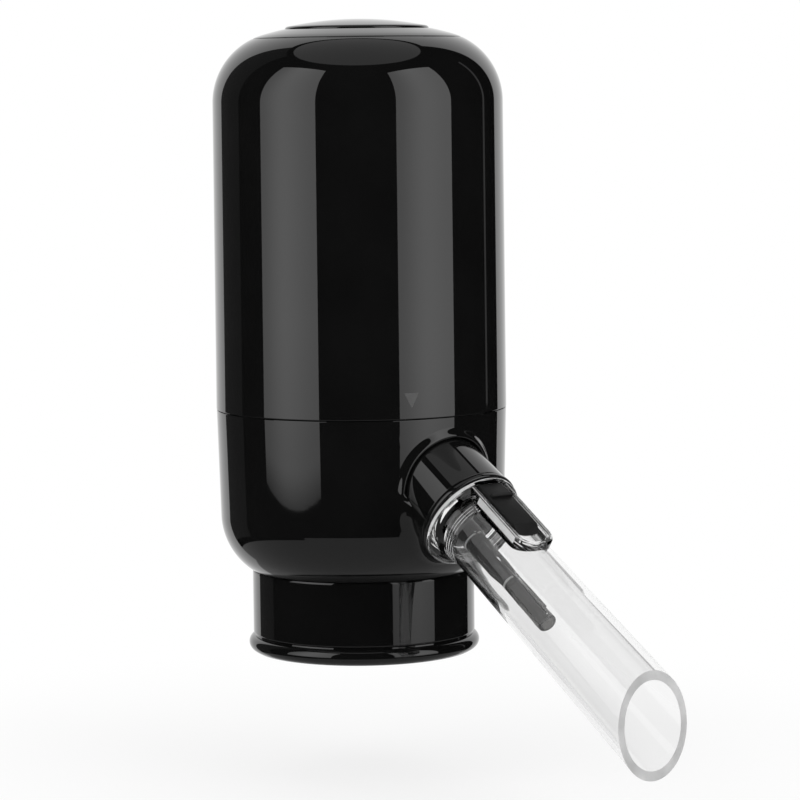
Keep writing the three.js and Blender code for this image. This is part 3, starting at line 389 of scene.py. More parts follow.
@dataclass(frozen=True)
class Surface:
    """A moulded or metal finish with fine variation in its colour, gloss and relief."""

    name: str
    dark: Colour
    light: Colour
    gloss: tuple[float, float]
    grain: float
    relief: float
    metallic: float = 0.0
    ior: float = 1.5
    transmission: float = 0.0
    specks: float = 0.0
    speck_grain: float = 160.0
    speck_size: float = 0.045

    def material(self) -> bpy.types.Material:
        """Builds the finish's nodes once, and gives the same material after that."""
        known = bpy.data.materials.get(self.name)
        if known:
            return known
        material = bpy.data.materials.new(self.name)
        material.use_nodes = True
        wiring = Wiring(material.node_tree)
        place = wiring.add("ShaderNodeTexCoord")["Object"]
        mottle = wiring.add("ShaderNodeTexNoise", {"Vector": place, "Scale": self.grain, "Detail": 4.0})["Fac"]
        tint = wiring.ramp(mottle, [(0.3, self.dark), (0.7, self.light)])
        low, high = self.gloss
        sheen = wiring.add("ShaderNodeMapRange", {"Value": mottle, "To Min": low, "To Max": high})
        looks = {
            "Metallic": self.metallic,
            "IOR": self.ior,
            "Transmission Weight": self.transmission,
            "Base Color": self._with_specks(wiring, place, tint),
            "Roughness": sheen["Result"],
        }
        if self.relief > 0:
            fine = wiring.add("ShaderNodeTexNoise", {"Vector": place, "Scale": self.grain * 6, "Detail": 3.0})
            bump = {"Strength": self.relief, "Distance": RELIEF_DEPTH, "Height": fine["Fac"]}
            looks["Normal"] = wiring.add("ShaderNodeBump", bump)["Normal"]
        wiring.join(material.node_tree.nodes["Principled BSDF"], looks)
        return material

    def _with_specks(self, wiring: Wiring, place: NodeSocket, tint: NodeSocket) -> NodeSocket:
        """Adds sparse pale dust over a colour, where the finish has it."""
        if self.specks <= 0:
            return tint
        dust = wiring.add("ShaderNodeTexVoronoi", {"Vector": place, "Scale": self.speck_grain})
        chance = wiring.add("ShaderNodeTexWhiteNoise", {"Vector": dust["Position"]})["Value"]
        small = wiring.sums("LESS_THAN", dust["Distance"], self.speck_size)
        few = wiring.sums("LESS_THAN", chance, self.specks)
        both = wiring.sums("MULTIPLY", small, few)
        return wiring.add("ShaderNodeMixRGB", {"Fac": both, "Color1": tint, "Color2": (0.12, 0.12, 0.12, 1)})["Color"]


def acrylic(name: str, dark: Colour, light: Colour, gloss: tuple[float, float], grain: float, clear: float) -> Surface:
    """A finish of the clear plastic pieces, without relief, that lets a share of the light through."""
    return Surface(name, dark, light, gloss, grain, 0.0, ior=ACRYLIC, transmission=clear)


POLISHED = Surface("polished_black", (0.0035,) * 3, (0.0045,) * 3, (0.015, 0.035), 90.0, 0.01, specks=0.02)
MATT = Surface("matt_black", (0.004,) * 3, (0.006,) * 3, (0.5, 0.62), 900.0, 0.3, ior=1.35)
CLEAR = acrylic("clear_acrylic", (0.93,) * 3, (0.96,) * 3, (0.0, 0.01), 40.0, 1.0)
SMOKY = acrylic("smoked_acrylic", (0.09, 0.088, 0.086), (0.2, 0.196, 0.19), (0.0, 0.02), 110.0, 0.85)
DEEP_SMOKY = acrylic("deep_smoked_acrylic", (0.02, 0.0195, 0.019), (0.05, 0.049, 0.048), (0.0, 0.02), 110.0, 0.75)
# Pale colour that is real frosting on the saw-cut mouth, and a painted highlight on the flange's upper side
FROST_AND_HIGHLIGHT = acrylic("frosted_edge", (0.5,) * 3, (0.74,) * 3, (0.3, 0.5), 160.0, 0.3)
# Pale colour painted as a highlight on clear edges, with a satin gloss
SATIN_HIGHLIGHT = acrylic("satin_edge", (0.66,) * 3, (0.8,) * 3, (0.25, 0.4), 130.0, 0.35)
PLUG = Surface("glossy_rubber", (0.006,) * 3, (0.01,) * 3, (0.12, 0.2), 500.0, 0.05)
RUBBER = Surface("dark_silicone", (0.02,) * 3, (0.03,) * 3, (0.5, 0.65), 500.0, 0.2)
WHITE = Surface("white_moulding", (0.62, 0.62, 0.6), (0.72, 0.72, 0.69), (0.35, 0.5), 300.0, 0.1)
STEEL = Surface("bright_steel", (0.5, 0.51, 0.52), (0.66, 0.67, 0.68), (0.18, 0.34), 500.0, 0.08, metallic=1.0)
SLEEVE = Surface("cell_sleeve", (0.02, 0.16, 0.09), (0.03, 0.2, 0.11), (0.2, 0.3), 200.0, 0.02)
BAND = Surface("cell_band", (0.42, 0.2, 0.08), (0.5, 0.25, 0.1), (0.2, 0.32), 200.0, 0.02, metallic=0.7)
BOARD = Surface("solder_mask", (0.006, 0.07, 0.02), (0.012, 0.1, 0.03), (0.25, 0.4), 700.0, 0.15)
PRINT = Surface("grey_print", (0.05,) * 3, (0.062,) * 3, (0.35, 0.5), 900.0, 0.05)

FINISHES: dict[Slot, Surface] = {
    Slot.GLOSS_BLACK: POLISHED,
    Slot.MATTE_BLACK: MATT,
    Slot.CLEAR: CLEAR,
    Slot.SILICONE: RUBBER,
    Slot.WHITE: WHITE,
    Slot.STEEL: STEEL,
    Slot.CELL: SLEEVE,
    Slot.BOARD: BOARD,
}


def place_piece(
    obj: Object, body: Body, slot: Slot, nodes: Iterable[str] = (), finish: Optional[Surface] = None
) -> None:
    """Dresses a finished piece and ties it to the CAD frame.

    Args:
        obj: The piece, in its place.
        body: The body that it moves with.
        slot: The record's slot that its finish comes from.
        nodes: The CAD nodes that it stands for.
        finish: Its finish, where it isn't the slot's own.
    """
    obj.data.materials.clear()
    obj.data.materials.append((finish or FINISHES[slot]).material())
    for polygon in obj.data.polygons:
        polygon.material_index = 0
    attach(obj, body.value)
    if nodes:
        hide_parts(*nodes)
    log.info("%s: %d faces on %s", obj.name, len(obj.data.polygons), body.value)


def dress_faces(obj: Object, finish: Surface, place: Matrix, picked: Callable[[Vector, Vector], bool]) -> None:
    """Gives some faces of a dressed piece a second finish.

    Args:
        obj: The piece.
        finish: The second finish.
        place: The frame that the test is asked in.
        picked: Whether the face with this middle and normal gets the finish.
    """
    obj.data.materials.append(finish.material())
    index = len(obj.data.materials) - 1
    back = (on_bottle() @ place).inverted()
    for polygon in obj.data.polygons:
        if picked(back @ polygon.center, (back.to_3x3() @ polygon.normal).normalized()):
            polygon.material_index = index


# The pourer's outside


@dataclass
class Dome:
    """The domed top that the cover, the ring and the button share."""

    crown: float = 125.7
    cap_radius: float = 68.0
    shoulder_radius: float = 14.0
    shoulder_in: float = 14.86

    @property
    def cap_centre(self) -> float:
        """Height of the wide cap's centre."""
        return self.crown - self.cap_radius

    @property
    def shoulder_height(self) -> float:
        """Height of the shoulder arc's centre."""
        across = self.cap_radius - self.shoulder_radius
        return self.cap_centre + math.sqrt(across**2 - self.shoulder_in**2)

    def height(self, r: float) -> float:
        """Height of the dome over a radius."""
        joint = self.shoulder_in * self.cap_radius / (self.cap_radius - self.shoulder_radius)
        if r <= joint:
            return self.cap_centre + math.sqrt(self.cap_radius**2 - r**2)
        return self.shoulder_height + math.sqrt(self.shoulder_radius**2 - (r - self.shoulder_in) ** 2)

    def run(self, start: float, end: float, steps: int) -> list[Point]:
        """Points of the dome between two radii."""
        radii = [start + (end - start) * i / steps for i in range(steps + 1)]
        return [(r, self.height(r)) for r in radii]


@dataclass
class Cover:
    """Tall cover with the top ring let into it and its printed mark."""

    dome: Dome = field(default_factory=Dome)
    foot: float = 48.84
    foot_radius: float = 29.05
    top_radius: float = 28.86
    straight: float = 60.0
    bore: float = 27.15
    wall: float = 1.9
    seat_radius: float = 20.8
    ledge_drop: float = 4.8
    ledge_thick: float = 2.0
    ledge_width: float = 2.5
    edge: float = 0.12
    sides: int = 256
    lug_foot: float = 50.8
    lug_height: float = 2.0
    lug_radius: float = 26.0
    lug_degrees: float = 14.0
    ring_gap: float = 0.16
    ring_bore: float = 14.65
    ring_floor: float = 118.35
    sleeve_wall: float = 1.8
    mark_degrees: float = -17.8
    mark_height: float = 51.0
    mark_size: float = 2.95
    mark_lift: float = 0.02
    mark_thick: float = 0.06

    def shell(self) -> Object:
        """The cover itself, with its locking lugs."""
        dome, foot, edge, seat = self.dome, self.foot, self.edge, self.seat_radius
        inner = dome.shoulder_radius - self.wall
        reach = math.degrees(math.acos((seat - dome.shoulder_in) / dome.shoulder_radius))
        ledge = dome.crown - self.ledge_drop
        low = ledge - self.ledge_thick
        ledge_angle = math.degrees(math.asin((low - dome.shoulder_height) / inner))
        top = arc(dome.shoulder_in, dome.shoulder_height, dome.shoulder_radius, 0, reach - 0.7, 48)
        rim = top[-1][1]
        profile = [
            (self.foot_radius - edge, foot),
            (self.foot_radius - edge * 0.3, foot + edge * 0.3),
            (self.foot_radius, foot + edge),
            *top,
            (seat + 0.03, rim - 0.02),
            (seat, rim - 0.12),
            (seat, ledge),
            (seat - self.ledge_width, ledge),
            (seat - self.ledge_width, low),
            *arc(dome.shoulder_in, dome.shoulder_height, inner, ledge_angle, 0, 16),
            (self.bore, foot),
        ]
        lugs = [self._lug(middle) for middle in LUG_MIDDLES]
        return merged("cover_shell", [revolve("shell", dense(profile, 2.0), self.sides), *lugs])

    def _lug(self, middle: float) -> Object:
        """One locking lug, sunk into the cover's wall."""
        half, outer = self.lug_degrees / 2, self.bore + self.wall / 2
        heights = (self.lug_foot, self.lug_foot + self.lug_height)
        return loft("lug", [sector(self.lug_radius, outer, middle - half, middle + half, z, 8) for z in heights])

    def ring(self) -> Object:
        """The ring let into the dome, with the sleeve round the button."""
        bore, floor = self.ring_bore, self.ring_floor
        outer, sleeve = self.seat_radius - self.ring_gap, bore + self.sleeve_wall
        ledge = self.dome.crown - self.ledge_drop + 0.1
        top = self.dome.run(outer - 0.1, bore + 0.25, 24)
        brim = self.dome.height(bore)
        profile = [(bore, floor), (sleeve, floor), (sleeve, ledge), (outer, ledge), (outer, top[0][1] - 0.12)]
        profile += [*top, (bore + 0.08, brim - 0.06), (bore, brim - 0.25)]
        return revolve("dome_ring", dense(profile, 1.5), self.sides)

    def mark(self) -> Object:
        """The small printed triangle over the seam, a thin layer on the cover."""
        rows = 8
        middle = -90 + self.mark_degrees
        levels = []
        for i in range(rows + 1):
            share = i / rows
            z = self.mark_height + self.mark_size * share
            draft = (self.foot_radius - self.top_radius) * (z - self.foot) / self.straight
            half = math.degrees(self.mark_size / 2 * share / (self.foot_radius + self.mark_lift))
            outer = self.foot_radius + self.mark_lift - draft
            levels.append(sector(outer - self.mark_thick, outer, middle - half, middle + half, z, 6))
        return loft("lock_mark", levels)

    def build(self) -> None:
        """Makes and places the cover's pieces."""
        place_piece(self.shell(), Body.COVER, Slot.GLOSS_BLACK, ["upper_shell"])
        place_piece(self.ring(), Body.COVER, Slot.GLOSS_BLACK, ["top_ring"])
        place_piece(self.mark(), Body.COVER, Slot.GLOSS_BLACK, finish=PRINT)


@dataclass
class Button:
    """Push button in the middle of the dome."""

    dome: Dome = field(default_factory=Dome)
    radius: float = 14.3
    rise: float = 0.35
    thick: float = 3.3
    wall: float = 1.6
    flange_width: float = 1.3
    flange_low: float = 116.95
    flange_high: float = 118.05
    edge: float = 0.35
    sides: int = 192

    def build(self) -> None:
        """Makes and places the button."""
        radius, low, high = self.radius, self.flange_low, self.flange_high
        inner, outer = radius - self.wall, radius + self.flange_width
        under = self.dome.crown - self.thick
        side = self.dome.height(radius) + self.rise - self.edge
        profile = [(0, under), (inner, under), (inner, low), (outer, low), (outer, high), (radius, high)]
        profile += [(radius, side), (radius - self.edge * 0.29, side + self.edge * 0.6)]
        profile += [(r, z + self.rise) for r, z in self.dome.run(radius - self.edge, 0, 28)]
        button = revolve("push_button", dense(profile, 1.5), self.sides)
        place_piece(button, Body.BUTTON, Slot.GLOSS_BLACK, ["button_cap"])


def spout_frame() -> Matrix:
    """Frame of the spout: Z along it, X across it and Y up from it, from where it meets the axis."""
    tilt = math.radians(90 + Spout.slope)
    return Matrix.Translation((0, 0, Spout.height)) @ Matrix.Rotation(tilt, 4, "X")


@dataclass
class Housing:
    """Lower housing with the raised boss round the spout, and the spigot that the cover goes over."""

    seam: float = 48.7
    radius: float = 29.0
    draft: float = 0.55
    corner: float = 13.5
    corner_height: float = 27.7
    foot: float = 16.4
    foot_radius: float = 22.3
    wall: float = 2.1
    mouth: float = 20.8
    spigot_radius: float = 26.85
    spigot_bore: float = 24.65
    spigot_top: float = 54.5
    groove: tuple[float, float, float] = (25.9, 48.8, 50.2)
    boss_radius: float = 11.75
    boss_height: float = 0.9
    boss_side: float = 0.85
    boss_run: tuple[float, float] = (18.0, 48.0)
    skin_near: float = 0.25
    lip_round: float = 0.6
    fillet: float = 3.0
    lip_blend: float = 1.2
    hole_radius: float = 10.25
    sides: int = 384
    pocket_degrees: float = 16.0
    twist: float = 17.8
    pocket_radius: float = 25.7
    pocket_foot: float = 50.5

    @property
    def corner_in(self) -> float:
        """How far the corner's centre is from the axis."""
        return self.radius - self.draft - self.corner

    @property
    def wall_slope(self) -> float:
        """Lean of the wall above the corner, in radians."""
        return math.atan(self.draft / (self.seam - self.corner_height))

    def shell(self) -> Object:
        """The housing's wall, raised into a boss and opened for the spout's collar."""
        centre, height, radius, seam = self.corner_in, self.corner_height, self.radius, self.seam
        start = -math.degrees(math.acos((self.foot_radius - centre) / self.corner))
        curve = arc(centre, height, self.corner, start, -math.degrees(self.wall_slope), 44)
        inner = self.corner - self.wall
        end = -math.degrees(math.acos((self.mouth - centre) / inner))
        profile = [
            *dense([*curve, (radius, seam - 0.12)], 0.45, closed=False),
            (radius - 0.04, seam - 0.04),
            (radius - 0.14, seam),
            (self.spigot_radius - 1.0, seam),
            (self.spigot_radius - 1.0, seam - 1.0),
            (self.spigot_bore, seam - 2.5),
            (radius - self.wall, seam - 4.7),
            *arc(centre, height, inner, 0, end, 16),
            (self.mouth, self.foot),
        ]
        body = revolve("housing_wall", profile, self.sides)
        self._raise_boss(body.data)
        hole = [(0, 20), (self.hole_radius, 20), (self.hole_radius, 60), (0, 60)]
        return smooth(combine(body, revolve("hole", hole, 256, spout_frame()), Cut.TAKE_AWAY), 28)

    def skin(self, place: Vector) -> Vector:
        """The smooth outer wall's nearest place to another, both in millimetres from the rim."""
        out = Vector((place.x, place.y, 0)).normalized()
        if place.z >= self.corner_height - self.corner * math.sin(self.wall_slope):
            share = (place.z - self.corner_height) / (self.seam - self.corner_height)
            return out * (self.radius - self.draft * (1 - share)) + Vector((0, 0, place.z))
        centre = out * self.corner_in + Vector((0, 0, self.corner_height))
        return centre + (place - centre).normalized() * self.corner

    def _raise_boss(self, mesh: Mesh) -> None:
        """Lifts the wall's outside into a low round lip about the spout's axis."""
        work = bmesh.new()
        work.from_mesh(mesh)
        work.transform(on_bottle().inverted())
        to_spout = spout_frame().inverted()
        ahead = spout_frame().to_3x3() @ Vector((0, 0, 1))
        near_end, far_end = self.boss_run

        def reach(place: Vector) -> float:
            """Distance of a place from the spout's axis, or infinity away from the boss."""
            local = to_spout @ place
            return math.hypot(local.x, local.y) if near_end < local.z < far_end else math.inf

        def is_outside(place: Vector) -> bool:
            """Whether a place is on the wall's outside."""
            return place.z > self.foot + 0.2 and (self.skin(place) - place).length < self.skin_near

        widest = self.hole_radius + self.fillet + 0.3
        middles = [(face, face.calc_center_median()) for face in work.faces]
        near = [face for face, at in middles if self.hole_radius - 0.7 < reach(at) < widest and is_outside(at)]
        edges = list({edge for face in near for edge in face.edges})
        bmesh.ops.subdivide_edges(work, edges=edges, cuts=4, use_grid_fill=True)
        for vertex in work.verts:
            if reach(vertex.co) > widest + 1 or not is_outside(vertex.co):
                continue
            place = self.skin(vertex.co)
            up = (to_spout @ place).y
            vertex.co = place + ahead * self._lip(reach(place), up)
        bmesh.ops.recalc_face_normals(work, faces=work.faces)
        work.transform(on_bottle())
        work.to_mesh(mesh)
        work.free()

    def _lip(self, away: float, up: float) -> float:
        """Height of the wall's raised edge round the spout's hole.

        Args:
            away: Distance from the spout's axis.
            up: Place across the axis, up from it. The upper half has a lip, and the lower half
                a fillet that runs out along the collar.

        Returns:
            How far the wall moves out along the spout's axis.
        """
        rise = self._blend((self.boss_radius - away) / self.boss_side)
        fall = min(max((self.hole_radius + self.lip_round - away) / self.lip_round, 0.0), 1.0)
        lip = self.boss_height * rise - self.lip_round * (1 - math.sqrt(1 - fall**2))
        near = min(max((self.hole_radius + self.fillet - away) / self.fillet, 0.0), 1.0)
        low = self.fillet * (1 - math.sqrt(1 - near**2))
        share = self._blend(0.5 - up / self.lip_blend)
        return lip * (1 - share) + low * share

    @staticmethod
    def _blend(share: float) -> float:
        """Smooth step from 0 to 1."""
        share = min(max(share, 0.0), 1.0)
        return share * share * (3 - 2 * share)

    def spigot(self) -> Object:
        """The ring that the cover goes over, with its seal groove and the lugs' pockets."""
        depth, low, high = self.groove
        bore, radius, top = self.spigot_bore, self.spigot_radius, self.spigot_top
        corners: list[Corner] = [
            (bore, self.seam - 2.4, 0),
            (radius - 1.05, self.seam - 0.9, 0),
            (depth, low, 0),
            (depth, high, 0.05),
            (radius, high, 0.1),
            (radius, top, 0.3),
            (bore, top, 0.2),
        ]
        ring = revolve("cover_spigot", dense(rounded(corners, 3), 3.0), 192)
        for middle in LUG_MIDDLES:
            start = middle - self.pocket_degrees / 2
            end = start + self.pocket_degrees + self.twist
            levels = [sector(self.pocket_radius, radius + 2, start, end, z, 24) for z in (self.pocket_foot, top + 2)]
            combine(ring, loft("pocket", levels), Cut.TAKE_AWAY)
        return smooth(ring)

    def build(self) -> None:
        """Makes and places the housing's pieces."""
        place_piece(self.shell(), Body.HOUSING, Slot.GLOSS_BLACK, ["lower_shell"])
        place_piece(self.spigot(), Body.HOUSING, Slot.GLOSS_BLACK)


@dataclass
class Skirt:
    """Skirt over the bottle's neck, with the stopper inside it."""

    radius: float = 22.3
    wall: float = 1.8
    lip_radius: float = 23.2
    lip_height: float = 3.2
    height: float = 16.3
    cup: tuple[float, float] = (20.7, 19.2)
    plate: tuple[float, float] = (25.9, 27.9)
    chamfer: tuple[float, float] = (3.1, 2.5)
    neck: float = 7.1
    sides: int = 256
    stopper_radius: float = 8.65
    stopper_foot: float = 5.5
    core_radius: float = 4.5
    ribs: int = 4
    rib: float = 1.2
    flange_radius: float = 15.95
    flange_thick: float = 1.8

    def skirt(self) -> Object:
        """The skirt with its rounded lip bead and the cup inside the housing."""
        radius, lip, height = self.radius, self.lip_height, self.height
        inner, bead = radius - self.wall, lip / 2
        outer_cup, inner_cup = self.cup
        low, high = self.plate
        wide, tall = self.chamfer
        profile = [
            (inner + 0.3, 0.0),
            (self.lip_radius - bead * 0.75, 0.0),
            *arc(self.lip_radius - bead, bead, bead, -75, 62, 16),
            (radius - 0.32, lip - 0.05),
            (radius - 0.38, lip + 0.2),
            (radius - 0.25, lip + 0.4),
            (radius - 0.05, lip + 0.5),
            (radius, lip + 0.62),
            (radius, height - 0.3),
            (radius - 0.1, height - 0.06),
            (radius - 0.3, height),
            (outer_cup, height),
            (outer_cup, high - tall),
            (outer_cup - wide, high),
            (self.neck, high),
            (self.neck, low),
            (inner_cup - wide, low),
            (inner_cup, low - tall),
            (inner_cup, height),
            (inner, height - 1.5),
            (inner, 0.3),
        ]
        return revolve("bottle_skirt", dense(profile, 1.5), self.sides)

    def stopper(self) -> Object:
        """The ribbed stopper with the flange that rests on the bottle's lip."""
        body, foot, core = self.stopper_radius, self.stopper_foot, self.core_radius
        seat, lid = RIM_TO_SEAT, RIM_TO_SEAT + self.flange_thick
        pitch = (seat - foot) / (self.ribs + 1)
        corners: list[Corner] = [(core, foot, 0.2), (body - 0.6, foot, 0.4)]
        for i in range(self.ribs):
            low = foot + pitch * (i + 0.5)
            corners += [(body, low, 0.3), (body + self.rib, low + pitch / 2, 0.2), (body, low + pitch * 2 / 3, 0.3)]
        corners += [(body, seat, 0.4), (self.flange_radius, seat, 0.5), (self.flange_radius, lid, 0.5), (core, lid, 0)]
        return revolve("ribbed_stopper", dense(rounded(corners), 2.0), 128)

    def build(self) -> None:
        """Makes and places the skirt and the stopper."""
        place_piece(self.skirt(), Body.HOUSING, Slot.GLOSS_BLACK, ["neck_skirt"])
        place_piece(self.stopper(), Body.HOUSING, Slot.SILICONE, ["bottle_stopper"])


@dataclass
class Spout:
    """Collar, clear tube with the slider's block, slider, pin and nozzle, along the spout's axis."""

    height = 51.06
    slope = 32.2
    reach: float = 101.9
    lean: float = 2.1
    mouth_run: float = 12.0
    collar_near: float = 24.0
    collar_far: float = 40.6
    collar_radius: float = 10.0
    collar_flare: float = 0.25
    end_ring_radius: float = 10.5
    collar_bore: float = 8.5
    parting: tuple[Point, Point] = ((-0.6, 27.5), (1.28, 39.9))
    parting_half: float = 0.07
    pipe_bore: float = 1.8
    pipe_radius: float = 2.8
    plug_near: float = 26.8
    plug_radius: float = 7.9
    tube_near: float = 40.9
    flange_radius: float = 10.25
    flange_thick: float = 0.7
    # lowest height on the flange that gets the painted highlight
    highlight_low: float = -1.3
    tube_base: float = 7.6
    tube_tip: float = 8.4
    neck: float = 5.0
    thick: float = 1.5
    thin: float = 0.75
    thin_end: float = 72.0
    ridges: int = 4
    ridge_pitch: float = 0.62
    ridge_deep: float = 0.22
    seals: tuple[float, ...] = (29.8, 34.3)
    seal_wire: float = 0.6
    block_half: float = 4.4
    block_top: float = 9.1
    block_length: float = 19.4
    block_corner: float = 3.9
    bevel: float = 0.3
    clear_run: float = 3.7
    # where the block's side band with its painted highlight starts
    highlight_band_low: float = 7.4
    block_low: float = 3.8
    slot_half: float = 3.0
    slot_floor: float = 8.1
    rail_half: float = 3.3
    slider_length: float = 14.8
    slider_top: float = 9.4
    slider_half: float = 2.8
    slider_slope: tuple[float, float] = (2.4, 1.2)
    slider_corner: float = 2.0
    ridge_offset: float = 3.7
    pin_radius: float = 1.1
    pin_offset: float = 2.4
    pin_length: float = 4.9
    nozzle_offset: float = 2.95
    nozzle_wide: float = 2.2
    nozzle_neck: float = 1.7
    nozzle_narrow: float = 1.95
    nozzle_wall: float = 0.7
    nozzle_run: tuple[float, float, float] = (12.0, 16.4, 28.8)
    rim_edge: float = 3.5
    disc_radius: float = 5.8
    disc_thick: float = 1.6
    sides: int = 128

    def collar(self) -> Object:
        """The black socket with its thin end ring."""
        near, far, radius, bore = self.collar_near, self.collar_far, self.collar_radius, self.pipe_bore
        step, neck = near + 2.5, far - 1.0
        corners: list[Corner] = [
            (bore, near - 3, 0),
            (self.pipe_radius, near - 3, 0.2),
            (self.pipe_radius, near, 0),
            (radius, near, 0.2),
            (radius, step, 0),
            (radius + self.collar_flare, neck - 0.35, 0.12),
            (radius, neck - 0.18, 0.05),
            (radius, neck, 0.05),
            (self.end_ring_radius, neck + 0.05, 0.28),
            (self.end_ring_radius, far, 0.28),
            (self.collar_bore, far, 0.25),
            (self.collar_bore, step, 0),
            (bore, step, 0),
        ]
        socket = revolve("spout_socket", dense(rounded(corners), 1.5), 192, spout_frame())
        half = self.parting_half
        for side in (-1, 1):
            deep, clear = side * (radius - 0.12), side * (radius + 1)
            plan = ((deep, -half), (deep, half), (clear, half), (clear, -half))
            levels = [[Vector((x, y + w, z)) for x, w in plan] for y, z in self.parting]
            combine(socket, loft("parting", levels, spout_frame()), Cut.TAKE_AWAY)
        return smooth(socket, 30)

    @property
    def cone_start(self) -> float:
        """Where the tube's cone starts."""
        return self.tube_near + self.neck

    def tube_outside(self, along: float) -> float:
        """Outer radius of the clear tube at a place along it."""
        share = (along - self.cone_start) / (self.reach - self.cone_start)
        return self.tube_base + (self.tube_tip - self.tube_base) * share

    def tube(self) -> Object:
        """The clear tube with its plug, flange and block, cut slanted at its mouth."""
        near, start, base, thick, plug = self.tube_near, self.cone_start, self.tube_base, self.thick, self.plug_radius
        far, flange, wide = self.reach + self.mouth_run, near + self.flange_thick, self.flange_radius
        corners: list[Corner] = [(base - thick, self.plug_near, 0.3), (plug, self.plug_near, 0.5)]
        half = self.seal_wire + 0.1
        for seal in self.seals:
            groove = ((plug, seal - half), (plug - half, seal - half), (plug - half, seal + half), (plug, seal + half))
            corners += [(r, z, 0.1) for r, z in groove]
        corners += [
            (plug, near, 0),
            (wide, near, 0.15),
            (wide, flange, 0.12),
            (wide - 0.5, flange + 0.1, 0.1),
            (base + 0.9, flange + 1.0, 0.8),
            (base, start, 3.0),
            (self.tube_outside(far), far, 0),
            (self.tube_outside(far) - thick, far, 0),
            (base - thick, start, 3.0),
        ]
        tube = revolve("clear_spout", dense(rounded(corners, 8), 4.0), self.sides, spout_frame())
        combine(tube, self.block(), Cut.ADD)
        for cutter in (self.bore(), *self.slot_cutters(), self.beyond()):
            combine(tube, cutter, Cut.TAKE_AWAY)
        return smooth(tube, 30)

    def bore(self) -> Object:
        """What the tube's ridged bore takes away from its base and cone."""
        start, inner = self.cone_start, self.tube_base - self.thin
        deep = inner + self.ridge_deep
        profile = [(0, start - 3), (inner, start - 3)]
        for k in range(self.ridges):
            ridge = start - 2.6 + self.ridge_pitch * k
            profile += [(inner, ridge), (deep, ridge + 0.04), (deep, ridge + 0.26), (inner, ridge + 0.3)]
        ends = ((start + 0.01, self.thin), (self.thin_end, self.thick))
        profile += [(self.tube_outside(along) - wall, along) for along, wall in ends]
        return revolve("bore", [*profile, (0, self.thin_end)], self.sides, spout_frame())

    @property
    def slider_near(self) -> float:
        """Where the slider starts."""
        return self.tube_near + 0.6

    @staticmethod
    def plate(half: float, near: float, far: float, height: float) -> list[Vector]:
        """A rectangle in the spout's frame, at one height over its axis."""
        return [Vector((x, height, z)) for x, z in ((-half, near), (half, near), (half, far), (-half, far))]

    def outline(self, half: float, near: float, far: float, corner: float, height: float) -> list[Vector]:
        """A bar's plan in the spout's frame, with two round corners at its far end."""
        right = arc(half - corner, far - corner, corner, 0, 90, 10)
        left = arc(corner - half, far - corner, corner, 90, 180, 10)
        clear = near + min(self.clear_run, (far - near) / 3)
        plan = [(-half, near), (half, near), (half, clear), *right, *left, (-half, clear)]
        return [Vector((x, height, z)) for x, z in plan]

    def brow(
        self, half: float, near: float, far: float, corner: float, top: float, steps: int, back: float
    ) -> list[list[Vector]]:
        """Outlines of a bar's round upper edge, from below.

        Args:
            half: Half the bar's width.
            near: Its start along the axis.
            far: Its end along the axis.
            corner: Radius of its corners.
            top: Its height.
            steps: Segments in the round edge.
            back: Whether the start is drawn in too, as 1 or 0.

        Returns:
            The outlines, as for loft.
        """
        levels = []
        for k in range(steps + 1):
            angle = math.pi / 2 * k / steps
            inset = self.bevel * (1 - math.cos(angle))
            height = top - self.bevel * (1 - math.sin(angle))
            levels.append(self.outline(half - inset, near + inset * back, far - inset, corner - inset, height))
        return levels

    def block(self) -> Object:
        """The clear block on the tube's top, with rounded upper edges."""
        plan = (self.block_half, self.tube_near + 0.1, self.tube_near + self.block_length, self.block_corner)
        levels = [self.outline(*plan, height) for height in (self.block_low, self.highlight_band_low)]
        return loft("block", levels + self.brow(*plan, self.block_top, 6, 0), spout_frame())

    def slot_cutters(self) -> list[Object]:
        """What the slider's slot, its rails, the pin's slot and the rim's two steps take away."""
        near, far = self.tube_near + 0.3, self.tube_near + self.block_length - 1.5
        floor, top, half = self.slot_floor, self.block_top, self.slot_half
        pin = self.slider_near + self.pin_offset
        plans = (
            ((half, near, far, half * 0.66), (floor, top + 2)),
            ((self.rail_half + 0.2, near, far - 1, 0.4), (floor, floor + 0.5)),
            ((self.pin_radius + 0.3, pin - 1.4, pin + 3.7, 1.3), (0.0, floor + 1.0)),
            ((half + 0.35, near, far + 0.35, 2.3), (top - 0.3, top + 1)),
            ((half + 0.7, near, far + 0.7, 2.6), (top - 0.12, top + 1)),
        )
        return [loft("slot", [self.outline(*plan, h) for h in heights], spout_frame()) for plan, heights in plans]

    def is_frosted_or_highlit(self, place: Vector, normal: Vector) -> bool:
        """Whether a face of the tube is its saw-cut mouth, which is frosted, or the upper side of its flange, which
        gets a painted highlight.

        Args:
            place: The face's middle, in millimetres in the spout's frame.
            normal: The way that it faces, in the spout's frame.

        Returns:
            True for the faces with the frosted finish and its painted highlight.
        """
        lean = math.radians(self.slope + self.lean)
        facing = Vector((0, math.sin(lean), math.cos(lean)))
        if place.z > self.reach - self.mouth_run and normal.dot(facing) > 0.95:
            return True
        # the flange's upper side is painted pale as a highlight
        in_flange = self.tube_near < place.z < self.tube_near + self.flange_thick
        return in_flange and place.y > self.highlight_low and math.hypot(place.x, place.y) > self.flange_radius - 0.2

    def is_block_highlight(self, place: Vector, normal: Vector) -> bool:
        """Whether a face is on the rim of the slider's block, or in the band below it, which get a painted highlight
        with a satin gloss.
        """
        if place.z > self.tube_near + self.block_length - 1.2 or place.y < self.highlight_band_low:
            return False
        on_rim = normal.y > 0.9 and place.y > self.block_top - 0.5 and abs(place.x) > self.slot_half + 0.3
        past = place.z > self.tube_near + self.clear_run
        return on_rim or (past and abs(normal.x) > 0.98 and abs(place.x) > self.block_half - 0.05)

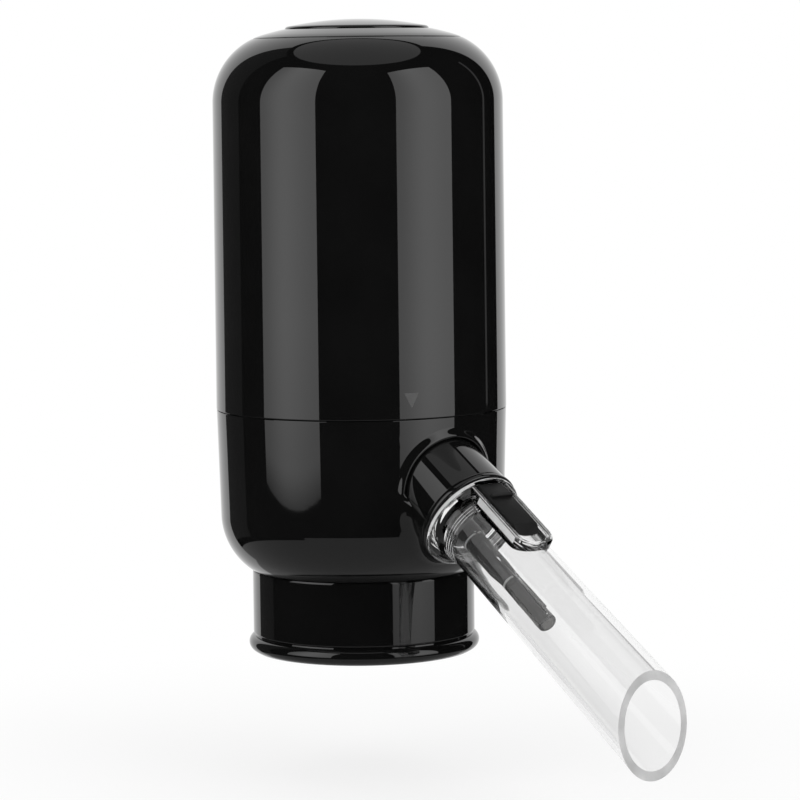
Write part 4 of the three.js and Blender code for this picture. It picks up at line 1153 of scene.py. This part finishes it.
    def beyond(self) -> Object:
        """Everything past the spout's slanted mouth."""
        lean = -math.radians(self.slope + self.lean)
        tilt = Matrix.Translation((0, 0, self.reach)) @ Matrix.Rotation(lean, 4, "X")
        return loft("beyond", [rectangle(60, 60, z) for z in (0, 80)], spout_frame() @ tilt)

    def is_deep(self, place: Vector, normal: Vector) -> bool:
        """Whether a face is in the channel's wide, darker part."""
        return place.z < self.tube_near + self.nozzle_run[1] - 0.25

    def is_joint_highlight(self, place: Vector, normal: Vector) -> bool:
        """Whether a face is on one of the pale lines round the channel, which are painted highlights."""
        along = place.z - self.tube_near
        at_rim = self.rim_edge - 0.12 < along < self.rim_edge + 0.12
        return at_rim or abs(along - self.nozzle_run[1] + 0.05) < 0.16

    def nozzle(self) -> Object:
        """The clear wine channel inside the tube, below its axis."""
        start = self.tube_near
        cone, slim, end = (start + run for run in self.nozzle_run)
        wide, neck, narrow, wall = self.nozzle_wide, self.nozzle_neck, self.nozzle_narrow, self.nozzle_wall
        corners: list[Corner] = [
            (wide - wall, start, 0),
            (wide + 0.15, start, 0),
            (wide + 0.15, start + self.rim_edge - 0.1, 0.1),
            (wide, start + self.rim_edge + 0.1, 0.1),
            (wide, cone, 2.0),
            (neck, slim - 0.3, 0.3),
            (neck + 0.15, slim - 0.2, 0.05),
            (neck + 0.15, slim, 0.05),
            (neck, slim + 0.2, 0.05),
            (narrow, slim + 4.5, 2.0),
            (narrow, end, 0.6),
            (narrow - wall, end, 0.15),
            (narrow - wall, slim, 0.4),
            (neck - wall, slim - 0.4, 0.3),
            (wide - wall, cone, 2.0),
        ]
        shift = spout_frame() @ Matrix.Translation((0, -self.nozzle_offset, 0))
        tube = revolve("wine_channel", dense(rounded(corners), 2.0), 64, shift)
        rim, back = self.disc_radius, start + self.disc_thick
        disc = rounded([(0, start, 0), (rim, start, 0.3), (rim, back, 0.3), (0, back, 0)], 4)
        combine(tube, revolve("disc", disc, 96, spout_frame()), Cut.ADD)
        hole = [(0, start - 2), (wide - wall, start - 2), (wide - wall, start + 3), (0, start + 3)]
        combine(tube, revolve("hole", hole, 64, shift), Cut.TAKE_AWAY)
        return smooth(tube, 30)

    def slider(self) -> Object:
        """The matt slider with its rails and a ridge for the finger."""
        near, low, half, top = self.slider_near, self.slot_floor + 0.1, self.slider_half, self.slider_top
        far = near + self.slider_length
        plan = (half, near, far, self.slider_corner)
        bar = loft("finger_slider", [self.outline(*plan, low), *self.brow(*plan, top, 3, 1)], spout_frame())
        rails = [self.outline(self.rail_half, near, far - 2, 0.2, h) for h in (low, low + 0.3)]
        foot = near + self.ridge_offset
        ridge = [
            self.plate(half - 0.3 - inset, foot + inset, foot + 0.8 - inset, height)
            for height, inset in ((low, 0.0), (top + 0.5, 0.0), (top + 0.7, 0.18))
        ]
        long, deep = self.slider_slope
        tilt = Matrix.Translation((0, top, far - long)) @ Matrix.Rotation(math.atan2(deep, long), 4, "X")
        wedge = [self.plate(9, 0, 9, height) for height in (0.0, 6.0)]
        combine(bar, loft("wedge", wedge, spout_frame() @ tilt), Cut.TAKE_AWAY)
        combine(bar, loft("rails", rails, spout_frame()), Cut.ADD)
        combine(bar, loft("ridge", ridge, spout_frame()), Cut.ADD)
        return smooth(bar, 35)

    def pin(self) -> Object:
        """The dark round pin under the slider."""
        long = self.pin_length
        foot = Matrix.Translation((0, self.slot_floor - long, self.slider_near + self.pin_offset))
        upright = foot @ Matrix.Rotation(-math.pi / 2, 4, "X")
        ball = self.pin_radius
        profile = [*arc(0, ball, ball, -90, 60, 24), (ball * 0.5, ball * 2.2), (ball * 0.5, long), (0, long)]
        return revolve("slider_pin", profile, 64, spout_frame() @ upright)

    def build(self) -> None:
        """Makes and places the spout's pieces."""
        place_piece(self.collar(), Body.HOUSING, Slot.GLOSS_BLACK, ["spout_collar"])
        tube = self.tube()
        place_piece(tube, Body.SPOUT, Slot.CLEAR, ["spout_tube"])
        # frosted saw-cut mouth, and a painted highlight on the flange's upper side
        dress_faces(tube, FROST_AND_HIGHLIGHT, spout_frame(), self.is_frosted_or_highlit)
        # painted highlight on the block's rim and side band
        dress_faces(tube, SATIN_HIGHLIGHT, spout_frame(), self.is_block_highlight)
        nozzle = self.nozzle()
        place_piece(nozzle, Body.SPOUT, Slot.CLEAR, ["spout_nozzle"], SMOKY)
        dress_faces(nozzle, DEEP_SMOKY, spout_frame(), self.is_deep)
        # painted highlight lines round the channel
        dress_faces(nozzle, SATIN_HIGHLIGHT, spout_frame(), self.is_joint_highlight)
        place_piece(self.slider(), Body.SLIDER, Slot.MATTE_BLACK, ["air_slider"])
        place_piece(self.pin(), Body.SLIDER, Slot.SILICONE, ["air_pin"], PLUG)


def dress_nodes() -> None:
    """Gives every CAD node that stays in view the finish of its slot."""
    slots = {entry["node"]: entry["material_slot"] for entry in frame["record"]["subparts"]}
    for name, obj in frame["nodes"].items():
        material = FINISHES[Slot(slots[name])].material()
        obj.data.materials.clear()
        obj.data.materials.append(material)


# Repeated pieces, set out by Geometry Nodes


class Kind(Enum):
    """Socket types of a node group's named inputs."""

    WHOLE = "NodeSocketInt"
    LENGTH = "NodeSocketFloat"
    PIECE = "NodeSocketObject"
    FINISH = "NodeSocketMaterial"


RING_INPUTS: dict[str, Kind] = {
    "Count": Kind.WHOLE,
    **dict.fromkeys(("Ring", "Start", "Low", "Step", "Turn Over"), Kind.LENGTH),
    "Seed": Kind.WHOLE,
    "Finish": Kind.FINISH,
}


class RingTree(Wiring):
    """A Geometry Nodes group that sets out copies round the axis."""

    def __init__(self, name: str, extra: dict[str, Kind]) -> None:
        """Starts a group with one geometry output.

        Args:
            name: The group's name.
            extra: Its own named inputs, which come after those of RING_INPUTS.
        """
        super().__init__(bpy.data.node_groups.new(name, "GeometryNodeTree"))
        self.tree.is_modifier = True
        sides = self.tree.interface
        sides.new_socket("Geometry", in_out="OUTPUT", socket_type="NodeSocketGeometry")
        for label, kind in {**RING_INPUTS, **extra}.items():
            sides.new_socket(label, in_out="INPUT", socket_type=kind.value)
        self.given = self.add("NodeGroupInput")

    def copied(self, piece: NodeSocket) -> NodeTree:
        """Sets out the copies, every second one moved along the axis and turned over.

        Args:
            piece: The geometry that is copied.

        Returns:
            The closed group. It makes the copies real and gives them their finish.
        """
        given = self.given
        index = self.add("GeometryNodeInputIndex")[0]
        odd = self.sums("MODULO", index, 2.0)
        angle = self.sums("MULTIPLY_ADD", self.sums("DIVIDE", index, given["Count"]), math.tau, given["Start"])
        across = self.sums("MULTIPLY", self.sums("COSINE", angle), given["Ring"])
        along = self.sums("MULTIPLY", self.sums("SINE", angle), given["Ring"])
        height = self.sums("MULTIPLY_ADD", odd, given["Step"], given["Low"])
        place = self.add("ShaderNodeCombineXYZ", {"X": across, "Y": along, "Z": height})[0]
        points = self.add("GeometryNodePoints", {"Count": given["Count"], "Position": place})[0]
        spin = self.add("FunctionNodeRandomValue", {2: 0.0, 3: math.tau, "ID": index, "Seed": given["Seed"]})[1]
        over = self.sums("MULTIPLY", odd, given["Turn Over"])
        turn = self.add("ShaderNodeCombineXYZ", {"X": over, "Z": spin})[0]
        wires = {"Points": points, "Instance": piece, "Rotation": turn}
        copies = self.add("GeometryNodeInstanceOnPoints", wires)[0]
        real = self.add("GeometryNodeRealizeInstances", {"Geometry": copies})[0]
        dressed = self.add("GeometryNodeSetMaterial", {"Geometry": real, "Material": given["Finish"]})[0]
        self.add("NodeGroupOutput", {0: dressed})
        return self.tree


def run_tree(name: str, group: NodeTree, values: dict[str, object]) -> Object:
    """Runs a node group with its inputs set, and keeps the result as a plain mesh.

    Args:
        name: The new object's name.
        group: The node group.
        values: A value for each named input.

    Returns:
        The finished object, without the modifier.
    """
    obj = as_object(name, bmesh.new())
    modifier = obj.modifiers.new("array", "NODES")
    modifier.node_group = group
    for socket in group.interface.items_tree:
        if socket.in_out == "INPUT":
            modifier[socket.identifier] = values[socket.name]
    apply_modifiers(obj)
    work = bmesh.new()
    work.from_mesh(obj.data)
    bmesh.ops.recalc_face_normals(work, faces=work.faces)
    work.to_mesh(obj.data)
    work.free()
    return obj


def copies_tree() -> NodeTree:
    """Group that sets copies of one piece round the axis."""
    group = RingTree("copies_round_axis", {"Piece": Kind.PIECE})
    piece = group.add("GeometryNodeObjectInfo", {"Object": group.given["Piece"]}, transform_space="ORIGINAL")
    return group.copied(piece["Geometry"])


def coils_tree() -> NodeTree:
    """Group that winds springs round the axis."""
    group = RingTree("coils_round_axis", dict.fromkeys(("Turns", "Foot", "Head", "Long", "Wire"), Kind.LENGTH))
    given = group.given
    wires = {"Resolution": 40, "Rotations": given["Turns"], "Height": given["Long"]}
    path = group.add("GeometryNodeCurveSpiral", {**wires, "Start Radius": given["Foot"], "End Radius": given["Head"]})
    wire = group.add("GeometryNodeCurvePrimitiveCircle", {"Resolution": 12, "Radius": given["Wire"]})
    wires = {"Curve": path[0], "Profile Curve": wire[0], "Fill Caps": True}
    return group.copied(group.add("GeometryNodeCurveToMesh", wires)[0])


@dataclass
class Inside:
    """Cells, springs and screws under the cover, set out round the axis."""

    cells: int = 6
    ring: float = 20.3
    cell_start: float = 30.0
    cell_radius: float = 5.25
    cell_length: float = 44.5
    cell_edge: float = 0.5
    nub_radius: float = 1.9
    nub_height: float = 0.8
    cell_low: float = 59.75
    cell_step: float = -3.0
    band_start: float = 9.0
    seed: int = 7
    spring_foot: float = 57.03
    spring_head: float = 103.97
    spring_turns: float = 4.0
    spring_radii: tuple[float, float] = (3.2, 2.4)
    spring_long: float = 2.34
    spring_wire: float = 0.26
    return_radius: float = 5.4
    return_wire: float = 0.33
    return_turns: float = 4.0
    return_span: tuple[float, float] = (115.62, 120.33)
    return_pressed: float = 0.7
    screws: int = 3
    shank: float = 1.1
    head: float = 2.2
    head_height: float = 1.4
    screw_length: float = 5.0
    recess: float = 0.6
    deck_screws: tuple[float, float, float] = (22.35, 90.0, 49.1)
    holder_screws: tuple[float, float, float] = (20.3, 0.0, 56.3)

    def cell(self) -> Object:
        """One cell about the axis, with its nub up and its middle at the rim's height."""
        half, r, nub = self.cell_length / 2, self.cell_radius, self.nub_radius
        top = half - self.nub_height
        corners: list[Corner] = [
            (0, -half, 0),
            (r - 1.1, -half, 0.1),
            (r - 1.2, -half + 0.15, 0.05),
            (r - 0.9, -half + 0.15, 0.05),
            (r - 0.8, -half, 0.1),
            (r, -half, self.cell_edge),
            (r, self.band_start, 0),
            (r, top, self.cell_edge),
            (r - 1.0, top, 0.2),
            (r - 1.1, top - 0.25, 0.1),
            (nub + 0.5, top - 0.25, 0.2),
            (nub, top, 0.1),
            (nub, half, 0.25),
            (0, half, 0),
        ]
        return revolve("cell", rounded(corners, 4), 48)

    def screw(self, name: str) -> Object:
        """One pan-head screw with a cross recess, its head's underside at the rim's height."""
        shank, head, long, high = self.shank, self.head, self.screw_length, self.head_height
        corners: list[Corner] = [(0, -long, 0), (shank * 0.3, -long, 0), (shank, -long + 1.4, 0.3), (shank, 0, 0.1)]
        corners += [(head, 0, 0.15), (head, high, 0.75), (0, high, 0)]
        body = revolve(name, rounded(corners, 6), 48)
        for turned in (0, 90):
            levels = [rectangle(head * 0.55 * s, self.recess / 2, z) for z, s in ((high - 0.8, 0.6), (high + 1, 1.2))]
            cutter = loft("recess", levels, Matrix.Rotation(math.radians(turned), 4, "Z"))
            combine(body, cutter, Cut.TAKE_AWAY)
        return smooth(body)

    def laid_out(
        self, count: int, ring: float, start: float, low: float, step: float, finish: Surface
    ) -> dict[str, object]:
        """Values of the inputs that both node groups share, in metres and radians.

        Args:
            count: How many copies there are.
            ring: Their distance from the axis.
            start: Angle of the first, in degrees.
            low: Height of the first.
            step: How much higher every second one is. Those are also turned over.
            finish: Their finish.

        Returns:
            A value for each name in RING_INPUTS.
        """
        return {
            "Count": count,
            "Ring": ring * MM,
            "Start": math.radians(start),
            "Low": (low - RIM_TO_SEAT) * MM,
            "Step": step * MM,
            "Turn Over": math.pi if step else 0.0,
            "Seed": self.seed,
            "Finish": finish.material(),
        }

    def in_cell(self, place: Vector) -> tuple[float, float]:
        """Distance of a place from its nearest cell's axis, and its height towards the nub."""
        step = 360 / self.cells
        index = round((math.degrees(math.atan2(place.y, place.x)) - self.cell_start) / step) % self.cells
        angle = math.radians(self.cell_start + step * index)
        middle = self.cell_low + self.cell_length / 2 + self.cell_step * (index % 2)
        away = math.hypot(place.x - self.ring * math.cos(angle), place.y - self.ring * math.sin(angle))
        return away, (place.z - middle) * (-1 if index % 2 else 1)

    def is_end(self, place: Vector, normal: Vector) -> bool:
        """Whether a face belongs to a cell's bare steel end."""
        away, high = self.in_cell(place)
        return away < self.cell_radius - 1.0 and abs(high) > self.cell_length / 2 - 2

    def is_band(self, place: Vector, normal: Vector) -> bool:
        """Whether a face of the sleeve is in the coloured band at a cell's nub."""
        away, high = self.in_cell(place)
        return away >= self.cell_radius - 1.0 and high > self.band_start

    def springs(self, coils: NodeTree) -> None:
        """Winds the cells' springs and the button's return spring."""
        foot, head = self.spring_radii
        step = self.spring_head - self.spring_foot
        values = self.laid_out(self.cells, self.ring, self.cell_start, self.spring_foot, step, STEEL)
        values |= {"Turns": self.spring_turns, "Foot": foot * MM, "Head": head * MM}
        values |= {"Long": self.spring_long * MM, "Wire": self.spring_wire * MM}
        wound = smooth(run_tree("cell_springs", coils, values))
        place_piece(wound, Body.HOUSING, Slot.STEEL, [f"battery_spring_{i + 1}" for i in range(self.cells)])
        low, high = self.return_span
        values = self.laid_out(1, 0.0, 0.0, low, 0.0, STEEL)
        values |= {"Turns": self.return_turns, "Foot": self.return_radius * MM, "Head": self.return_radius * MM}
        values |= {"Long": (high - low) * MM, "Wire": self.return_wire * MM}
        wound = smooth(run_tree("return_spring", coils, values))
        place_piece(wound, Body.COVER, Slot.STEEL, ["button_spring"])
        foot = (0, 0, (low - self.return_wire - RIM_TO_SEAT) * MM)
        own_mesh(wound)

    @staticmethod
    def _set_out(name: str, piece: Object, copies: NodeTree, values: dict[str, object]) -> Object:
        """Sets out copies of a piece.

        Args:
            name: The new object's name.
            piece: The piece, made at the rim's height. It is removed.
            copies: The node group.
            values: A value for each input but the piece.

        Returns:
            One object with all the copies.
        """
        piece.data.transform(Matrix.Translation((0, 0, RIM_TO_SEAT * MM)))
        placed = smooth(run_tree(name, copies, {**values, "Piece": piece}))
        drop(piece)
        return placed

    def build(self) -> None:
        """Makes and places the repeated pieces, one object for each kind."""
        copies, coils = copies_tree(), coils_tree()
        middle = self.cell_low + self.cell_length / 2
        values = self.laid_out(self.cells, self.ring, self.cell_start, middle, self.cell_step, SLEEVE)
        cells = self._set_out("cells", self.cell(), copies, values)
        place_piece(cells, Body.HOUSING, Slot.CELL, [f"battery_{i + 1}" for i in range(self.cells)])
        dress_faces(cells, STEEL, HERE, self.is_end)
        dress_faces(cells, BAND, HERE, self.is_band)
        self.springs(coils)
        for name, (ring, start, low) in (("deck_screw", self.deck_screws), ("holder_screw", self.holder_screws)):
            values = self.laid_out(self.screws, ring, start, low, 0.0, STEEL)
            screws = self._set_out(name + "s", self.screw(name), copies, values)
            place_piece(screws, Body.HOUSING, Slot.STEEL, [f"{name}_{i + 1}" for i in range(self.screws)])
        bpy.data.node_groups.remove(copies)
        bpy.data.node_groups.remove(coils)


# The studio


@dataclass(frozen=True)
class Softbox:
    """An upright lamp beside the object, set by what it fills as seen from the axis.

    Azimuths are degrees to the right of the camera. Lengths are millimetres, with heights
    counted from the skirt's rim.
    """

    name: str
    near_turn: float
    near_away: float
    far_turn: float
    far_away: float
    low: float
    high: float
    level: float
    edge_shares: tuple[float, float, float]
    foot_shares: tuple[Point, ...]


@dataclass(frozen=True)
class Glow:
    """A part of the surround, between two azimuths and two elevations in degrees."""

    name: str
    turns: tuple[float, float]
    rises: tuple[float, float]
    level: float


LEFT_FOOT: tuple[Point, ...] = ((0.0, 0.3), (0.018, 0.75), (0.06, 0.88), (0.12, 1.0))
RIGHT_FOOT: tuple[Point, ...] = ((0.0, 0.5), (0.05, 0.62), (0.1, 0.85), (0.16, 1.0))


@dataclass
class Studio:
    """Floor, lamps, dark flags and the camera."""

    camera_turn: float = -37.262
    camera_distance: float = 658.897
    camera_height: float = 90.936
    pitch: float = 5.632
    yaw: float = 0.673
    roll: float = -0.654
    lens: float = 148.5
    sensor: float = 36.0
    sight: float = 20.0
    floor_height: float = -49.6
    floor_radius: float = 0.9
    floor_fade: tuple[float, float] = (0.04, 0.16)
    floor_white: float = 0.72
    flag_radius: float = 3.0
    glow_radius: float = 2.91
    veil_radius: float = 2.82
    patch_step: float = 3.0
    overhead_size: float = 0.62
    overhead_height: float = 0.62
    overhead: float = 0.55
    fill: float = 0.55
    softboxes: tuple[Softbox, ...] = (
        Softbox("left_softbox", -32.3, 425.0, -80.5, 475.0, -37.5, 600.0, 2.1, (0.62, 1.0, 0.8), LEFT_FOOT),
        Softbox("right_softbox", 76.0, 440.0, 29.0, 440.0, -71.0, 550.0, 2.15, (0.68, 1.0, 0.82), RIGHT_FOOT),
    )
    glows: tuple[Glow, ...] = (
        Glow("back", (137.0, 223.0), (-35.0, 57.0), 1.0),
        Glow("table_front", (-50.0, 50.0), (-90.0, -21.5), 0.38),
        Glow("table_sides", (50.0, 137.0), (-90.0, -25.0), 0.4),
        Glow("table_left", (-137.0, -50.0), (-90.0, -25.0), 0.38),
        Glow("table_back", (137.0, 223.0), (-90.0, -35.0), 0.4),
        Glow("back_left", (-137.0, -108.0), (-20.0, 57.0), 0.06),
        Glow("back_right", (116.0, 118.5), (-5.0, 38.0), 0.3),
    )
    veils: tuple[Glow, ...] = (
        Glow("left_veil", (-150.0, -60.0), (-25.0, 65.0), 0.4),
        Glow("right_veil", (60.0, 150.0), (-25.0, 65.0), 0.4),
        Glow("top_veil", (-180.0, 180.0), (65.0, 90.0), 0.4),
    )

    def direction(self, azimuth: float, elevation: float) -> Vector:
        """Direction from the object, with azimuth 0 towards the camera and positive to its right."""
        turn = math.radians(-90 + self.camera_turn + azimuth)
        rise = math.radians(elevation)
        return Vector((math.cos(turn) * math.cos(rise), math.sin(turn) * math.cos(rise), math.sin(rise)))

    def camera(self) -> None:
        """Puts the camera where the photograph was taken from."""
        turn = math.radians(self.camera_turn)
        facing = Matrix.Rotation(turn - math.radians(self.yaw), 4, "Z")
        facing @= Matrix.Rotation(math.radians(90 - self.pitch), 4, "X")
        facing @= Matrix.Rotation(math.radians(self.roll), 4, "Z")
        spot = Vector((0, -self.camera_distance, self.camera_height)) * MM
        spot.rotate(Matrix.Rotation(turn, 3, "Z"))
        data = bpy.data.cameras.new("camera")
        data.lens = self.lens
        data.sensor_width = self.sensor
        data.clip_end = self.sight
        obj = bpy.data.objects.new("camera", data)
        obj.matrix_world = Matrix.Translation(spot) @ facing
        bpy.context.scene.collection.objects.link(obj)
        bpy.context.scene.camera = obj

    def softbox(self, box: Softbox) -> None:
        """Places one softbox, dimmer towards its upright edges."""
        one = self.direction(box.near_turn, 0) * box.near_away * MM
        two = self.direction(box.far_turn, 0) * box.far_away * MM
        width, height = (two - one).length, (box.high - box.low) * MM
        middle, upright = (one + two) / 2, Vector((0, 0, 1))
        outward = (two - one).cross(upright).normalized()
        if outward.dot(middle) < 0:
            outward = -outward
        data = bpy.data.lights.new(box.name, "AREA")
        data.shape = "RECTANGLE"
        data.size = width
        data.size_y = height
        data.energy = box.level * math.pi * width * height
        self._fall_off(data, box)
        turned = Matrix((upright.cross(outward), upright, outward)).transposed().to_4x4()
        lift = upright * (((box.high + box.low) / 2 - RIM_TO_SEAT) * MM)
        self._hang(data, Matrix.Translation(middle + lift) @ turned)

    @staticmethod
    def _hang(data: bpy.types.Light, place: Matrix) -> None:
        """Puts a lamp in the scene, unseen by the camera and through clear plastic."""
        obj = bpy.data.objects.new(data.name, data)
        obj.matrix_world = place
        obj.visible_camera = False
        obj.visible_transmission = False
        bpy.context.scene.collection.objects.link(obj)

    @staticmethod
    def _fall_off(data: bpy.types.Light, box: Softbox) -> None:
        """Dims a lamp from its brightest line towards both edges, and towards its foot."""
        data.use_nodes = True
        wiring = Wiring(data.node_tree)
        place = wiring.add("ShaderNodeNewGeometry")["Parametric"]
        split = wiring.add("ShaderNodeSeparateXYZ", {0: place})
        edges = [(spot, (share,) * 3) for spot, share in zip((0.0, 0.5, 1.0), box.edge_shares)]
        foot = [(spot, (share,) * 3) for spot, share in box.foot_shares]
        across, upward = wiring.ramp(split["X"], edges, "EASE"), wiring.ramp(split["Y"], foot)
        both = wiring.add("ShaderNodeVectorMath", {0: across, 1: upward}, operation="MULTIPLY")
        wiring.join(data.node_tree.nodes["Emission"], {"Color": both["Vector"]})

    def top_lamp(self) -> None:
        """A round softbox over the object."""
        data = bpy.data.lights.new("overhead", "AREA")
        data.shape = "DISK"
        data.size = self.overhead_size
        data.energy = self.overhead * math.pi * math.pi * (data.size / 2) ** 2
        self._hang(data, Matrix.Translation((0, 0, self.overhead_height)))

    def patch(self, glow: Glow, away: float, through: bool = False) -> None:
        """One part of the surround.

        Args:
            glow: Where it is and how bright.
            away: Its distance in metres.
            through: Whether it shows in clear plastic, and not in reflections.
        """
        work = bmesh.new()
        (left, right), (low, high) = glow.turns, glow.rises
        columns, rows = (max(2, int((end - start) / self.patch_step)) for start, end in (glow.turns, glow.rises))
        rises = [low + (high - low) * k / rows for k in range(rows + 1)]
        grid = []
        for i in range(columns + 1):
            turn = left + (right - left) * i / columns
            grid.append([work.verts.new(self.direction(turn, rise) * away) for rise in rises])
        for one, two in zip(grid, grid[1:]):
            for k in range(rows):
                work.faces.new((one[k], two[k], two[k + 1], one[k + 1]))
        bmesh.ops.remove_doubles(work, verts=work.verts, dist=MERGE)
        obj = as_object(glow.name, work)
        material = bpy.data.materials.new(glow.name)
        material.use_nodes = True
        material.cycles.emission_sampling = "NONE"
        wiring = Wiring(material.node_tree)
        material.node_tree.nodes.clear()
        light = wiring.add("ShaderNodeEmission", {"Strength": glow.level})[0]
        wiring.add("ShaderNodeOutputMaterial", {"Surface": light})
        obj.data.materials.append(material)
        obj.visible_camera = False
        obj.visible_diffuse = False
        obj.visible_glossy = not through
        obj.visible_transmission = through
        obj.visible_shadow = False

    def world(self) -> None:
        """White surround for the camera, reflections and glass, and a plain fill for the rest."""
        world = bpy.data.worlds.new("surround")
        bpy.context.scene.world = world
        world.use_nodes = True
        world.node_tree.nodes.clear()
        wiring = Wiring(world.node_tree)
        path = wiring.add("ShaderNodeLightPath")
        seen = wiring.sums("MAXIMUM", path["Is Camera Ray"], path["Is Glossy Ray"])
        seen = wiring.sums("MAXIMUM", seen, path["Is Transmission Ray"])
        levels = [wiring.add("ShaderNodeBackground", {"Color": (1, 1, 1, 1), "Strength": s})[0] for s in (self.fill, 1)]
        mix = wiring.add("ShaderNodeMixShader", {"Fac": seen, 1: levels[0], 2: levels[1]})[0]
        wiring.add("ShaderNodeOutputWorld", {"Surface": mix})

    def floor(self) -> None:
        """A pale floor that keeps the shadow and fades into the white surround."""
        work = bmesh.new()
        bmesh.ops.create_circle(work, cap_ends=True, radius=self.floor_radius, segments=96)
        obj = as_object("floor", work, Matrix.Translation((0, 0, self.floor_height * MM)))
        material = bpy.data.materials.new("pale_floor")
        material.use_nodes = True
        nodes = material.node_tree.nodes
        wiring = Wiring(material.node_tree)
        paint = {"Base Color": (0.95, 0.95, 0.95, 1), "Roughness": 0.9, "Specular IOR Level": 0.0}
        dull = wiring.join(nodes["Principled BSDF"], paint)[0]
        white = wiring.add("ShaderNodeEmission")[0]
        path = wiring.add("ShaderNodeLightPath")
        seen = wiring.sums("MAXIMUM", path["Is Camera Ray"], path["Is Transmission Ray"])
        place = wiring.add("ShaderNodeTexCoord")["Object"]
        away = wiring.add("ShaderNodeVectorMath", {0: place}, operation="LENGTH")["Value"]
        near, far = self.floor_fade
        span = {"Value": away, "From Min": near, "From Max": far, "To Min": self.floor_white, "To Max": 1.0}
        fade = wiring.add("ShaderNodeMapRange", span, interpolation_type="SMOOTHSTEP")["Result"]
        share = wiring.sums("MULTIPLY", seen, fade)
        mix = wiring.add("ShaderNodeMixShader", {"Fac": share, 1: dull, 2: white})[0]
        wiring.join(nodes["Material Output"], {"Surface": mix})
        obj.data.materials.append(material)
        obj.visible_glossy = False

    def build(self) -> None:
        """Sets up the camera, the lamps, the surround and the floor."""
        bpy.context.scene.view_settings.view_transform = "Standard"
        self.camera()
        for box in self.softboxes:
            self.softbox(box)
        self.top_lamp()
        self.patch(Glow("dark_flags", (-180.0, 180.0), (-90.0, 90.0), 0.0), self.flag_radius)
        for glow in self.glows:
            self.patch(glow, self.glow_radius)
        for veil in self.veils:
            self.patch(veil, self.veil_radius, True)
        self.world()
        self.floor()


def main() -> None:
    """Builds the studio and every piece, in order."""
    logging.basicConfig(level=logging.INFO, format="%(message)s")
    Studio().build()
    dress_nodes()
    Cover().build()
    Button().build()
    Housing().build()
    Skirt().build()
    Spout().build()
    Inside().build()


if __name__ == "__main__":
    main()
